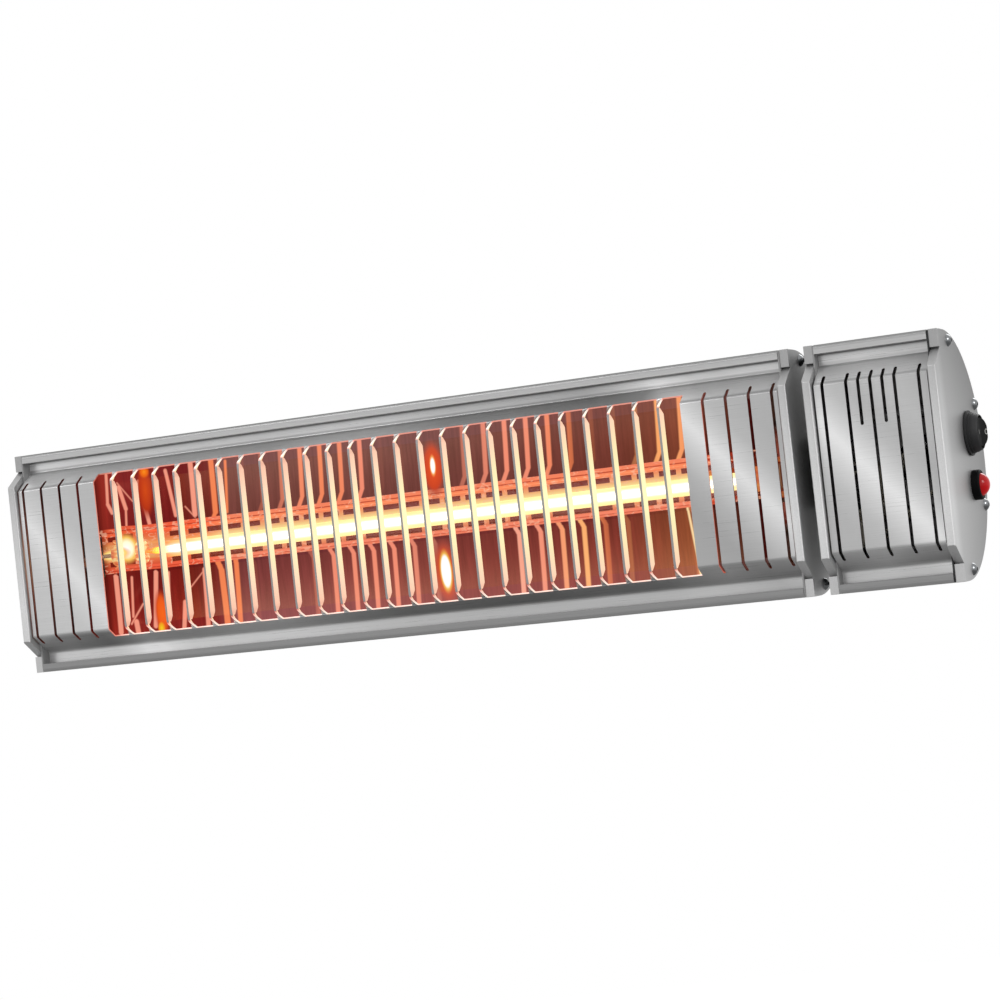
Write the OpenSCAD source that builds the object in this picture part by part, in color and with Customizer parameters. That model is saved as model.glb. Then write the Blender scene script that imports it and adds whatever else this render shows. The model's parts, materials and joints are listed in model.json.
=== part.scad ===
// Wall-mounted electric bar heater: one infrared lamp in a polished trough, behind a pressed steel
// grille whose bars are turned edge-on, with a short control section beside it and a tilting bracket.
// Millimetres. The origin is the centre of the wall bracket's back face: -Y is the room, +Z is up,
// +X is to the right for someone who stands in front of the heater.

/* [Sections] */
// Length of the main section, over its two end plates
main_l = 567; // [545:1:620]
// Length of the control section, over its two end plates
control_l = 83; // [78:1:110]
// Gap between the two sections
section_gap = 10; // [8:0.5:14]
// Height of the body, which is also the diameter of its round back
body_h = 152; // [148:1:160]

/* [Housing extrusion] */
// Distance from the cover's face back to the centre of the round back
back_set = 21; // [20:0.5:30]
// Wall of the extrusion
wall = 1.8; // [1.4:0.1:2.4]
// How far the front rails lie behind the cover's face
rail_set = 8; // [6:0.5:10]
// Height of a front rail
rail_h = 5.7; // [5:0.1:7]
// Radius of the outer front corner of a rail
rail_corner_r = 2.5; // [1:0.1:3.5]
// Width of the flat strip along the back, where the bracket sits
back_flat_w = 26; // [25:1:30]
// Width over the flats of the bolt heads that slide in the back channel
channel_af = 10; // [9:0.5:12]

/* [Cover and grille] */
// Thickness of the cover sheet
sheet_t = 1; // [0.8:0.1:1.2]
// Distance from the top of the body down to the fold of the flat face, and the same at the bottom
face_drop = 25; // [23:0.5:28]
// Distance from the top of the body down to the fold between a slope and its flange
slope_drop = 13; // [12:0.5:15]
// Distance that the flanges lie behind the face
flange_set = 17; // [15:0.5:18]
// Radius on the outside of the folds
fold_r = 2; // [1.2:0.1:3]
// Distance from the top of the body down to the windows and slots
opening_drop = 19.8; // [18:0.1:22]
// Distance from the left end of the section to the first window
band_left = 68.2; // [66:0.1:80]
// Distance from the last window to the right end of the section
band_right = 69.6; // [66:0.1:80]
// Pitch of the turned bars
fin_pitch = 16.69; // [14:0.01:20]
// Depth of a turned bar
fin_d = 4.3; // [3:0.1:5]
// Distance from the top of the body down to where a bar is turned fully edge-on
fin_turn_drop = 30; // [28:0.5:36]
// Width of a vent slot
slot_w = 2; // [1.5:0.1:3]
// Pitch of the vent slots at the ends of the main section
slot_pitch = 14.88; // [13:0.01:15]
// Distance from the ends of the control section to its outer slots
control_slot_edge = 11.74; // [10:0.01:14]
// Distance from the end of a section to its nearest slot
slot_edge = 10.2; // [9.8:0.1:12]
// Number of slots at each end of the main section
end_slots = 4; // [2:1:4]
// Distance between the upper ends of the short slots and their lower ends
short_slot_l = 32.5; // [20:0.5:40]

/* [End plates] */
// Thickness of an end plate
plate_t = 5.5; // [5:0.1:7]
// Distance that the rim stands proud of the cover's face
rim_proud = 3.7; // [3:0.1:5]
// Distance from the top of the body down to the rim's straight front
rim_drop = 22.5; // [20:0.5:24]
// Distance from the top of the body down to the foot of the rim's slopes
rim_foot_drop = 11; // [9:0.5:12]
// Distance from the face back to the foot of the rim's slopes
rim_foot_set = 12; // [11:0.5:14]
// Distance from the face back to the front of the tabs
tab_set = 9.2; // [8.4:0.1:10.5]
// Radius of the rim's front edges
rim_edge_r = 1.5; // [0.5:0.1:2]
// Thickness of a rubber gasket under an end plate
gasket_t = 1; // [0.6:0.1:1.2]
// Width of a gasket
gasket_w = 8; // [8:0.5:10]
// Radius of the thread of an end plate screw
screw_r = 2; // [1.5:0.1:2.2]
// Radius of a screw head
screw_head_r = 3.9; // [3.4:0.1:4.2]
// Height of a screw head
screw_head_h = 2.6; // [2:0.1:3]
// Depth of a screw in its port, below the gasket
screw_grip = 12; // [8:1:20]
// Distance of the screws from the outside of the round back
screw_edge = 5.4; // [5.2:0.1:6.5]

/* [Reflector and lamp] */
// Thickness of the reflector sheet
reflector_t = 0.6; // [0.4:0.1:0.8]
// Distance from the top of the body down to the front fold of the reflector
reflector_drop = 26.5; // [25:0.5:29]
// Focal length of the reflector's parabola
reflector_f = 15.7; // [15:0.1:17]
// Half the height of the channel behind the lamp
trough_half_h = 14.5; // [13:0.1:16]
// Depth of the channel behind the parabola
trough_d = 9; // [7:0.5:11]
// Distance between the reflector's ends and the ends of the section
reflector_end = 30; // [24:1:36]
// Pitch of the cooling slots along the channel
cooling_pitch = 13; // [11:0.5:15]
// Length of a cooling slot
cooling_l = 9; // [6:0.5:10]
// Height of a cooling slot
cooling_h = 3.4; // [2:0.1:4.5]
// Height above and below the lamp's axis of the two rows of cooling slots
cooling_z = 8.7; // [7:0.1:10]
// Distance from the left end of the section to the lit part of the lamp
lit_left = 84; // [80:1:90]
// Distance from the lit part of the lamp to the right end of the section
lit_right = 51; // [48:1:60]
// Radius of the quartz tube
tube_r = 5.5; // [4.5:0.1:6]
// Wall of the quartz tube
tube_wall = 1; // [0.8:0.1:1.2]
// Radius of the filament's coil
filament_r = 2.4; // [1.5:0.1:2.8]
// Length of a ceramic lamp cap
cap_l = 24; // [20:1:26]
// Width of a ceramic lamp cap
cap_w = 16; // [15:0.5:17]
// Thickness of a ceramic lamp cap
cap_t = 13; // [12.5:0.5:14]
// Distance from the lit part of the lamp to the end reflectors
end_reflector_gap = 10; // [8:0.5:12]
// Thickness of the lamp stands and clips
stand_t = 1.2; // [1:0.1:1.6]

/* [Neck] */
// Radius of the neck between the two sections
neck_r = 22; // [20:0.5:25]
// Distance from the neck's axis to the outside of the round back
neck_edge = 35; // [32:1:38]
// Radius of the way for the wires through the neck
neck_bore_r = 9; // [8:0.5:10]
// Distance from the neck's axis to each of its two bolts
neck_bolt_z = 15.5; // [14:0.5:17]
// Radius of a neck bolt
neck_bolt_r = 2.5; // [2:0.1:3]

/* [Switch and pilot light] */
// Distance from the axes of the switch and the pilot light to the outside of the round back
controls_edge = 36; // [34:0.5:40]
// Height of the switch above the middle of the body
switch_z = 13; // [11:0.5:14]
// Depth of the pilot light below the middle of the body
pilot_drop = 19; // [18:0.5:22]
// Radius of the switch's base
switch_base_r = 14; // [12.5:0.5:14]
// Radius of the rocker
rocker_r = 8.8; // [8:0.1:9]
// Angle that the rocker turns between ON and OFF
rocker_travel = 16; // [10:1:18]
// Height of the ring round the rocker above the end plate
collar_h = 8; // [7:0.1:8.5]
// Radius of the pilot light's ring
pilot_ring_r = 9.3; // [8:0.1:10]
// Height of the pilot light's ring above the end plate
pilot_ring_h = 5; // [4:0.1:6]
// Radius of the pilot light's dome
pilot_dome_r = 7; // [6:0.1:7.5]
// Height of the pilot light's dome above its ring
pilot_dome_h = 4.6; // [3.5:0.1:6]

/* [Cable entry] */
// Radius of the thread of the cable gland
gland_r = 8; // [7:0.5:9]
// Radius of the way for the supply cable through the gland
cable_r = 4.5; // [3.5:0.1:5]
// Length of the gland's domed nut
gland_nut_l = 15; // [12:1:18]

/* [Brackets] */
// Distance from the wall to the tilt pivot
pivot_out = 45; // [42:1:60]
// Distance from the tilt pivot to the flat back of the body
pivot_to_back = 26; // [24:1:32]
// Width of the wall bracket, over its two ears
bracket_w = 120; // [110:1:150]
// Height of the wall bracket
bracket_h = 50; // [46:1:60]
// Height of the tilt bracket's base
tilt_base_h = 40; // [34:1:44]
// Thickness of the brackets
bracket_t = 3; // [2.5:0.1:4]
// Radius of the round ends of the ears
ear_r = 13; // [12:0.5:15]
// Radius of the pivot bolts
pivot_r = 4; // [3:0.1:4.5]
// Thickness of the friction washers at the pivot
washer_t = 1; // [0.8:0.1:1.6]
// Distance between the wall screws, along the wall
screw_span_x = 76; // [60:1:84]
// Distance between the wall screws, up the wall
screw_span_z = 28; // [24:1:32]
// Radius of the holes for the wall screws
wall_hole_r = 3.25; // [2.5:0.05:4]
// Distance between the two bolts that hold the tilt bracket to the body
channel_bolt_span = 60; // [40:1:70]
// Radius of those two bolts
channel_bolt_r = 3; // [2.5:0.1:3.5]

/* [Hidden] */
$fn = 64;

// How far every cut runs past the surface it opens
over = 2;
// Clearances: a sliding or turning fit, a hole round a screw, and a sheet in its groove
run_gap = 0.05;
screw_gap = 0.2;
sheet_gap = 0.15;
face_gap = 0.1;

// Colours, as the photograph shows them
aluminium_col = "#C3C8C9";
sheet_col = "#B9BFC1";
plate_col = "#BCC0C1";
mirror_col = "#D8D8D4";
black_col = "#1D1D1F";
rubber_col = "#2A2A2C";
steel_col = "#A9ADB0";
ceramic_col = "#E9E4D8";
glow_col = "#FFC46B";
quartz_col = "#F6D9B8";
red_col = "#D0141C";
lead_col = "#E8E2D2";
earth_col = "#7FA03A";

// Sizes that follow from the ones above
half_h = body_h / 2;
face_z = half_h - face_drop;
slope_z = half_h - slope_drop;
open_z = half_h - opening_drop;
turn_z = half_h - fin_turn_drop;
rim_z = half_h - rim_drop;
rim_foot_z = half_h - rim_foot_drop;
reflector_z = half_h - reflector_drop;
overall_l = main_l + section_gap + control_l;
control_x = main_l + section_gap;
back_flat_y = back_set + sqrt(half_h * half_h - back_flat_w * back_flat_w / 4);
face_out = pivot_out + pivot_to_back + back_flat_y;
screw_ring_r = half_h - screw_edge;
screw_shares = [0.984, 0.445];
screw_high_z = screw_shares[0] * screw_ring_r;
screw_low_z = screw_shares[1] * screw_ring_r;
port_r = screw_r + wall;
groove_w = sheet_t + reflector_t + 2 * sheet_gap;
groove_lip = 7;
groove_inner_z = half_h - groove_lip;
lamp_y = flange_set + sheet_t + pow(reflector_z, 2) / (4 * reflector_f) - reflector_f;

// A direction of unit length, the direction to its right, and the square of a length
function unit(v) = v / norm(v);
function right_of(v) = [v[1], -v[0]];

// Points of an arc that rounds the corner b between a and c with radius r, in n steps
function corner(a, b, c, r, n = 4) =
  let (
    u = unit(a - b),
    v = unit(c - b),
    half = acos(u * v) / 2,
    middle = b + unit(u + v) * r / sin(half),
    from = b + u * r / tan(half),
    to = b + v * r / tan(half),
    a0 = atan2(from[1] - middle[1], from[0] - middle[0]),
    a1 = atan2(to[1] - middle[1], to[0] - middle[0]),
    turn = a1 - a0 > 180 ? a1 - a0 - 360 : a1 - a0 < -180 ? a1 - a0 + 360 : a1 - a0
  )
  [for (i = [0:n]) middle + r * [cos(a0 + turn * i / n), sin(a0 + turn * i / n)]];

// The same path with every inner corner rounded
function rounded(pts, r, n = 4) = concat(
  [pts[0]],
  [for (i = [1:len(pts) - 2]) each corner(pts[i - 1], pts[i], pts[i + 1], r, n)],
  [pts[len(pts) - 1]]
);

// The point that lies t to the right of point i of a path
function beside(pts, i, t) =
  i == 0 ? pts[0] + t * right_of(unit(pts[1] - pts[0]))
  : i == len(pts) - 1 ? pts[i] + t * right_of(unit(pts[i] - pts[i - 1]))
  : let (
      p = right_of(unit(pts[i] - pts[i - 1])),
      q = right_of(unit(pts[i + 1] - pts[i])),
      m = unit(p + q)
    )
    pts[i] + t * m / (m * p);

// The outline of a bent sheet: a path, and the same path t to its right, walked back
function bent_sheet(pts, t) =
  concat(pts, [for (i = [len(pts) - 1:-1:0]) beside(pts, i, t)]);

// The upper half of a path, with its mirror image below it, from the bottom to the top
function both_halves(top) =
  concat([for (i = [len(top) - 1:-1:0]) [top[i][0], -top[i][1]]], top);

// Places on the body are given from its left end, its cover's face and its middle height
module in_body() {
  translate([-overall_l / 2, -face_out, 0]) children();
}

// A flat shape drawn in Y and Z, made l long along X from x
module along_x(x, l) {
  translate([x, 0, 0]) rotate([90, 0, 90]) linear_extrude(l) children();
}

// A cylinder along X or along Y
module rod_x(x, y, z, r, l) {
  translate([x, y, z]) rotate([0, 90, 0]) cylinder(r = r, h = l);
}
module rod_y(x, y, z, r, l) {
  translate([x, y, z]) rotate([-90, 0, 0]) cylinder(r = r, h = l);
}

// A hexagon along X or along Y, with af over its flats
module hex_x(x, y, z, af, l) {
  translate([x, y, z]) rotate([0, 90, 0]) cylinder(r = af / 2 / cos(30), h = l, $fn = 6);
}
module hex_y(x, y, z, af, l) {
  translate([x, y, z]) rotate([-90, 0, 0]) cylinder(r = af / 2 / cos(30), h = l, $fn = 6);
}

// A domed cap of radius r and height h on a plane, pointing along +X
dome_steps = 8;
module dome_x(x, y, z, r, h) {
  ball_r = (r * r + h * h) / (2 * h);
  open_a = asin(r / ball_r);
  translate([x, y, z]) rotate([0, 90, 0]) rotate_extrude() polygon(concat(
    [[0, 0], [r, 0]],
    [for (i = [dome_steps - 1:-1:0])
      let (a = open_a * i / dome_steps) [ball_r * sin(a), h - ball_r + ball_r * cos(a)]]
  ));
}

// The D-shaped outline: a half disc of radius r behind the arc's centre, and a straight part from y
module d_outline(r, y) {
  intersection() {
    translate([back_set, 0]) circle(r = r);
    translate([back_set, -r]) square([r, 2 * r]);
  }
  translate([y, -r]) square([back_set - y + face_gap, 2 * r]);
}

// The four places of the end plate screws, in Y and Z
function screw_places() = [
  for (z = [screw_high_z, screw_low_z, -screw_low_z, -screw_high_z])
    [back_set + sqrt(screw_ring_r * screw_ring_r - z * z), z]
];

// The housing extrusion: its screw ports, front rails, sheet grooves and back channel
rail_wall = 1.4;
groove_front_y = flange_set - sheet_gap;
groove_back_y = groove_front_y + groove_w;
flange_end_z = half_h - wall - 3 * sheet_gap;
channel_head_h = 4;
channel_lip_t = 2.2;
channel_half = channel_af / 2 + screw_gap;
channel_y = back_flat_y - channel_lip_t - channel_head_h - 2 * screw_gap;

module d_rounded(r, y, c) {
  intersection() {
    translate([back_set, 0]) circle(r = r, $fn = 128);
    translate([back_set, -r]) square([back_flat_y - back_set, 2 * r]);
  }
  translate([y + c, -r]) square([back_set - y - c + face_gap, 2 * r]);
  translate([y, -r + c]) square([c + face_gap, 2 * (r - c)]);
  for (z = [-r + c, r - c]) translate([y + c, z]) circle(r = c, $fn = 32);
}

module rail() {
  difference() {
    translate([rail_set, half_h - rail_h]) square([groove_front_y - rail_set, rail_h - wall / 2]);
    translate([rail_set + rail_wall, half_h - rail_h + rail_wall])
      square([groove_front_y - rail_set - 2 * rail_wall, rail_h - rail_wall - wall]);
    translate([rail_set - over, half_h - rail_corner_r]) square([over + rail_corner_r, rail_corner_r]);
  }
  translate([groove_back_y, groove_inner_z])
    square([rail_wall, half_h - wall / 2 - groove_inner_z]);
}

module housing_section() {
  difference() {
    union() {
      difference() {
        d_rounded(half_h, rail_set, rail_corner_r);
        d_outline(half_h - wall, rail_set - over);
      }
      rail();
      mirror([0, 1]) rail();
      translate([channel_y - wall, -channel_half - wall])
        square([back_flat_y - channel_y + wall, 2 * (channel_half + wall)]);
      translate([back_flat_y - channel_lip_t, -back_flat_w / 2]) square([channel_lip_t, back_flat_w]);
      for (p = screw_places()) translate(p) circle(r = port_r);
    }
    translate([channel_y, -channel_half])
      square([back_flat_y - channel_lip_t - channel_y, 2 * channel_half]);
    translate([channel_y, -channel_bolt_r - screw_gap])
      square([back_flat_y - channel_y + over, 2 * (channel_bolt_r + screw_gap)]);
    for (p = screw_places()) translate(p) circle(r = screw_r + run_gap);
  }
}

module housing(x, l) {
  along_x(x + plate_t + gasket_t, l - 2 * (plate_t + gasket_t)) housing_section();
}

module main_housing() {
  color(aluminium_col) in_body() housing(0, main_l);
}

module control_housing() {
  color(aluminium_col) in_body() difference() {
    housing(control_x, control_l);
    rod_y(gland_x, channel_y - wall - over, 0, gland_r + face_gap, back_flat_y - channel_y + half_h);
  }
}

// The cover sheet of both sections: a flat face, two slopes and two flanges that sit in the grooves
open_y = flange_set * (open_z - face_z) / (slope_z - face_z);
cover_path = rounded(both_halves([
  [0, face_z],
  [flange_set, slope_z],
  [flange_set, flange_end_z]
]), fold_r);

module cover_sheet(x, l) {
  along_x(x + plate_t + gasket_t, l - 2 * (plate_t + gasket_t)) polygon(bent_sheet(cover_path, sheet_t));
}

// A flat shape drawn in X and Z, made a cut along Y through the whole cover
module through_cover() {
  translate([0, flange_set + over, 0]) rotate([90, 0, 0]) linear_extrude(flange_set + 2 * over) children();
}

// A vent slot with round ends, from z0 up to z1
module slot(x, z0, z1) {
  translate([x - slot_w / 2, z0 + slot_w / 2]) square([slot_w, z1 - z0 - slot_w]);
  for (z = [z0 + slot_w / 2, z1 - slot_w / 2]) translate([x, z]) circle(d = slot_w, $fn = 24);
}

// The grille's windows lie in a band, and between each two a strip is left and turned edge-on
band_l = main_l - band_left - band_right;
fins = round(band_l / fin_pitch) - 1;
strip_lean = 0.8;
function fin_x(i) = band_left + band_l / 2 + (i - (fins - 1) / 2) * fin_pitch;

module window(i) {
  left = i == 0 ? band_left : fin_x(i - 1) + sheet_t / 2;
  right = i == fins ? main_l - band_right : fin_x(i) - sheet_t / 2;
  left_end = i == 0 ? left : left + strip_lean;
  right_end = i == fins ? right : right + sheet_t + strip_lean - fin_d;
  polygon([
    [left, -turn_z], [left_end, -open_z], [right_end, -open_z], [right, -turn_z],
    [right, turn_z], [right_end, open_z], [left_end, open_z], [left, turn_z]
  ]);
}

// A turned bar: its front edge follows the sheet, and its flank narrows to nothing on the slopes
module fin(i) {
  front = both_halves([[0, face_z], [open_y, open_z]]);
  along_x(fin_x(i) - sheet_t / 2, sheet_t)
    polygon(concat(
      [for (k = [0:len(front) - 1]) beside(front, k, sheet_t / 2)],
      [[fin_d, turn_z], [fin_d, -turn_z]]
    ));
}

module grille() {
  color(sheet_col) in_body() {
    difference() {
      cover_sheet(0, main_l);
      through_cover() {
        for (i = [0:fins]) window(i);
        for (i = [0:end_slots - 1]) {
          slot(slot_edge + i * slot_pitch, -open_z, open_z);
          slot(main_l - slot_edge - i * slot_pitch, -open_z, open_z);
        }
      }
    }
    for (i = [0:fins - 1]) fin(i);
  }
}

module control_cover() {
  middle_x = control_x + control_l / 2;
  pitch = (control_l - 2 * control_slot_edge) / 4;
  color(sheet_col) in_body() difference() {
    cover_sheet(control_x, control_l);
    through_cover() {
      for (i = [-2:2]) slot(middle_x + i * pitch, -open_z, open_z);
      for (i = [-1, 1]) slot(middle_x + i * pitch / 2, open_z - short_slot_l, open_z);
    }
  }
}

// The end plates: the housing's outline with a rim that stands in front of the cover
neck_y = back_set + half_h - neck_edge;
controls_y = back_set + half_h - controls_edge;
rocker_side_gap = 1.4;
switch_bore_r = rocker_r + rocker_side_gap;
switch_wall = 1.2;
switch_body_r = switch_bore_r + switch_wall;
pilot_body_r = 5;

module plate_outline() {
  difference() {
    d_outline(half_h, -rim_proud);
    for (turn = [0, 1]) mirror([0, turn]) polygon([
      [tab_set, half_h + over], [tab_set, rim_foot_z], [rim_foot_set, rim_foot_z],
      [-rim_proud, rim_z], [-rim_proud - over, rim_z], [-rim_proud - over, half_h + over]
    ]);
  }
}

module rim_outline() {
  translate([0, rim_edge_r - rim_proud]) square([plate_t, back_set + half_h + rim_proud]);
  translate([rim_edge_r, -rim_proud]) square([plate_t - 2 * rim_edge_r, 2 * rim_edge_r]);
  for (x = [rim_edge_r, plate_t - rim_edge_r])
    translate([x, rim_edge_r - rim_proud]) circle(r = rim_edge_r, $fn = 32);
}

module end_plate(x) {
  difference() {
    intersection() {
      along_x(x, plate_t) plate_outline();
      translate([x, 0, -half_h - over]) linear_extrude(body_h + 2 * over) rim_outline();
    }
    for (p = screw_places()) rod_x(x - over, p[0], p[1], screw_r + screw_gap, plate_t + 2 * over);
  }
}

module neck_holes(x, l) {
  rod_x(x - over, neck_y, 0, neck_bore_r, l + 2 * over);
  for (z = [-neck_bolt_z, neck_bolt_z])
    rod_x(x - over, neck_y, z, neck_bolt_r + screw_gap, l + 2 * over);
}

module main_left_plate() {
  color(plate_col) in_body() end_plate(0);
}

module main_right_plate() {
  color(plate_col) in_body() difference() {
    end_plate(main_l - plate_t);
    neck_holes(main_l - plate_t, plate_t);
  }
}

module control_left_plate() {
  color(plate_col) in_body() difference() {
    end_plate(control_x);
    neck_holes(control_x, plate_t);
    for (p = terminal_screw_places())
      rod_x(control_x + plate_t - terminal_screw_grip, p[0], p[1], terminal_screw_r + run_gap, plate_t);
  }
}

module control_right_plate() {
  x = overall_l - plate_t;
  color(plate_col) in_body() difference() {
    end_plate(x);
    rod_x(x - over, controls_y, switch_z, switch_body_r + face_gap, plate_t + 2 * over);
    rod_x(x - over, controls_y, -pilot_drop, pilot_body_r + face_gap, plate_t + 2 * over);
  }
}

// Gaskets between the end plates and the extrusions
gasket_inset = 0.6;

module gasket(x) {
  color(rubber_col) in_body() difference() {
    along_x(x, gasket_t) difference() {
      d_outline(half_h - gasket_inset, rail_set + gasket_inset);
      d_outline(half_h - gasket_w, back_set);
    }
    for (p = screw_places()) rod_x(x - over, p[0], p[1], screw_r + screw_gap, gasket_t + 2 * over);
  }
}

module main_left_gasket() { gasket(plate_t); }
module main_right_gasket() { gasket(main_l - plate_t - gasket_t); }
module control_left_gasket() { gasket(control_x + plate_t); }
module control_right_gasket() { gasket(overall_l - plate_t - gasket_t); }

// A dome-headed screw with a hexagon socket, its head at x pointing along +X
module dome_screw(x, y, z, r, l, head_r, head_h) {
  difference() {
    union() {
      dome_x(x, y, z, head_r, head_h);
      rod_x(x - l, y, z, r, l + head_h / 2);
    }
    hex_x(x + head_h * socket_depth_share, y, z, head_r * socket_share, head_h);
  }
}
socket_share = 0.62;
socket_depth_share = 0.35;

module end_plate_screws() {
  l = plate_t + gasket_t + screw_grip;
  color(steel_col) in_body() for (p = screw_places()) {
    for (x = [main_l, overall_l]) dome_screw(x, p[0], p[1], screw_r, l, screw_head_r, screw_head_h);
    for (x = [0, control_x])
      translate([x, 0, 0]) mirror([1, 0, 0])
        dome_screw(0, p[0], p[1], screw_r, l, screw_head_r, screw_head_h);
  }
}

// The neck that joins the two sections and carries the wires across the gap
grommet_wall = 2;
grommet_lip = 1.6;
neck_head_r = 4.2;
neck_head_h = 3;
neck_nut_af = 8;
neck_nut_t = 4;

module neck() {
  color(black_col) in_body() difference() {
    rod_x(main_l, neck_y, 0, neck_r, section_gap);
    neck_holes(main_l, section_gap);
  }
}

module neck_grommet() {
  from = main_l - plate_t - grommet_lip;
  l = section_gap + 2 * (plate_t + grommet_lip);
  color(rubber_col) in_body() difference() {
    union() {
      rod_x(from, neck_y, 0, neck_bore_r - run_gap, l);
      for (x = [from, from + l - grommet_lip])
        rod_x(x, neck_y, 0, neck_bore_r + grommet_lip, grommet_lip);
    }
    rod_x(from - over, neck_y, 0, neck_bore_r - grommet_wall, l + 2 * over);
  }
}

module neck_bolts() {
  l = section_gap + 2 * plate_t + neck_nut_t + neck_bolt_r / 2;
  color(steel_col) in_body() for (z = [-neck_bolt_z, neck_bolt_z])
    translate([main_l - plate_t, 0, 0]) mirror([1, 0, 0])
      dome_screw(0, neck_y, z, neck_bolt_r, l, neck_head_r, neck_head_h);
}

module neck_nuts() {
  color(steel_col) in_body() for (z = [-neck_bolt_z, neck_bolt_z]) difference() {
    hex_x(control_x + plate_t, neck_y, z, neck_nut_af, neck_nut_t);
    rod_x(control_x + plate_t - over, neck_y, z, neck_bolt_r + run_gap, neck_nut_t + 2 * over);
  }
}

// The reflector: a parabolic trough with a channel behind the lamp and two flanges in the grooves
vertex_y = lamp_y + reflector_f;
trough_back_y = vertex_y - trough_half_h * trough_half_h / (4 * reflector_f) + trough_d;
parabola_steps = 8;
function on_parabola(z) = [vertex_y - z * z / (4 * reflector_f), z];
trough_path = both_halves(concat(
  [[trough_back_y, trough_half_h]],
  [for (i = [0:parabola_steps])
    on_parabola(trough_half_h + (reflector_z - trough_half_h) * i / parabola_steps)]
));
reflector_path = concat(
  [[flange_set + sheet_t, -flange_end_z]],
  trough_path,
  [[flange_set + sheet_t, flange_end_z]]
);
lit_end = main_l - lit_right;
left_wall_x = lit_left - end_reflector_gap;
right_wall_x = lit_end + end_reflector_gap;
cooling_slots = floor((right_wall_x - left_wall_x - cooling_pitch) / cooling_pitch);
rivet_r = 1.5;
rivet_head_r = 2.8;
rivet_head_h = 0.8;
foot_l = 9;
foot_half_w = 4.4;

module reflector() {
  middle_x = (left_wall_x + right_wall_x) / 2;
  color(mirror_col) in_body() difference() {
    along_x(reflector_end, main_l - 2 * reflector_end) polygon(bent_sheet(reflector_path, reflector_t));
    for (i = [0:cooling_slots - 1]) for (z = [-cooling_z, cooling_z])
      translate([
        middle_x + (i - (cooling_slots - 1) / 2) * cooling_pitch - cooling_l / 2,
        trough_back_y - over,
        z - cooling_h / 2
      ])
        cube([cooling_l, reflector_t + 2 * over, cooling_h]);
    for (x = [left_wall_x - foot_l / 2, right_wall_x + foot_l / 2])
      rod_y(x, trough_back_y - over, 0, rivet_r + run_gap, reflector_t + 2 * over);
    for (p = stand_rivet_places())
      rod_y(p[0], trough_back_y - over, p[1], rivet_r + run_gap, reflector_t + 2 * over);
  }
}

// An end reflector closes the trough round the lamp cap; its foot is riveted to the channel
module end_reflector() {
  inner = [for (k = [0:len(trough_path) - 1]) beside(trough_path, k, -sheet_gap)];
  difference() {
    union() {
      along_x(-reflector_t, reflector_t) polygon(inner);
      translate([-foot_l, trough_back_y - sheet_gap - reflector_t, -foot_half_w])
        cube([foot_l, reflector_t, 2 * foot_half_w]);
    }
    along_x(-reflector_t - over, reflector_t + 2 * over) cap_outline(screw_gap);
    rod_y(-foot_l / 2, trough_back_y - trough_d / 2, 0, rivet_r + run_gap, trough_d);
  }
}

module left_end_reflector() {
  color(mirror_col) in_body() translate([left_wall_x, 0, 0]) end_reflector();
}

module right_end_reflector() {
  color(mirror_col) in_body() translate([right_wall_x, 0, 0]) mirror([1, 0, 0]) end_reflector();
}

// A rivet through a stack of sheets, from y back over the distance l
module rivet(x, y, z, l) {
  rod_y(x, y - rivet_head_h, z, rivet_head_r, rivet_head_h);
  rod_y(x, y - rivet_head_h / 2, z, rivet_r, l + rivet_head_h);
  rod_y(x, y + l, z, rivet_head_r, rivet_head_h);
}

module end_reflector_rivets() {
  color(steel_col) in_body() for (x = [left_wall_x - foot_l / 2, right_wall_x + foot_l / 2])
    rivet(x, trough_back_y - sheet_gap - reflector_t, 0, sheet_gap + 2 * reflector_t);
}

// The lamp: a quartz tube with its filament, a ceramic cap at each end, clips and stands
tube_past = 12;
cap_grip = 6;
left_cap_x = lit_left - tube_past + cap_grip - cap_l;
right_cap_x = lit_end + tube_past - cap_grip;
clip_l = 10;
clip_lip = 1.2;
clip_reach = 5;
stand_half_w = 6;
stand_foot_z = 13;
stand_l = 14;
stand_rivet_z = 9.8;
clip_x = left_cap_x + cap_grip / 2;
stand_x = clip_x + (clip_l - stand_l) / 2;
clip_back_y = lamp_y + cap_t / 2 + face_gap + stand_t;

function stand_rivet_places() = [
  for (x = [stand_x + stand_l / 2, left_cap_x + right_cap_x + cap_l - stand_x - stand_l / 2])
    for (z = [-stand_rivet_z, stand_rivet_z]) [x, z]
];

// Whatever is made for the left end of the lamp, and its mirror image at the right end
module at_both_lamp_ends() {
  children();
  translate([left_cap_x + right_cap_x + cap_l, 0, 0]) mirror([1, 0, 0]) children();
}

module cap_outline(gap) {
  side = cap_w / 2 - cap_t / 2;
  for (z = [-side, side]) translate([lamp_y, z]) circle(r = cap_t / 2 + gap);
  translate([lamp_y - cap_t / 2 - gap, -side]) square([cap_t + 2 * gap, 2 * side]);
}

module quartz_tube() {
  from = lit_left - tube_past;
  l = lit_end - lit_left + 2 * tube_past;
  color(quartz_col, 0.4) in_body() difference() {
    rod_x(from, lamp_y, 0, tube_r, l);
    rod_x(from + tube_wall, lamp_y, 0, tube_r - tube_wall, l - 2 * tube_wall);
  }
}

module filament() {
  from = lit_left - tube_past + tube_wall;
  l = lit_end - lit_left + 2 * (tube_past - tube_wall);
  color(glow_col) in_body() {
    rod_x(lit_left, lamp_y, 0, filament_r, lit_end - lit_left);
    rod_x(from, lamp_y, 0, filament_r / 3, l);
  }
}

module lamp_caps() {
  color(ceramic_col) in_body() at_both_lamp_ends() difference() {
    along_x(left_cap_x, cap_l) cap_outline(0);
    rod_x(left_cap_x + cap_l - cap_grip, lamp_y, 0, tube_r + face_gap, cap_grip + over);
  }
}

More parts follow.
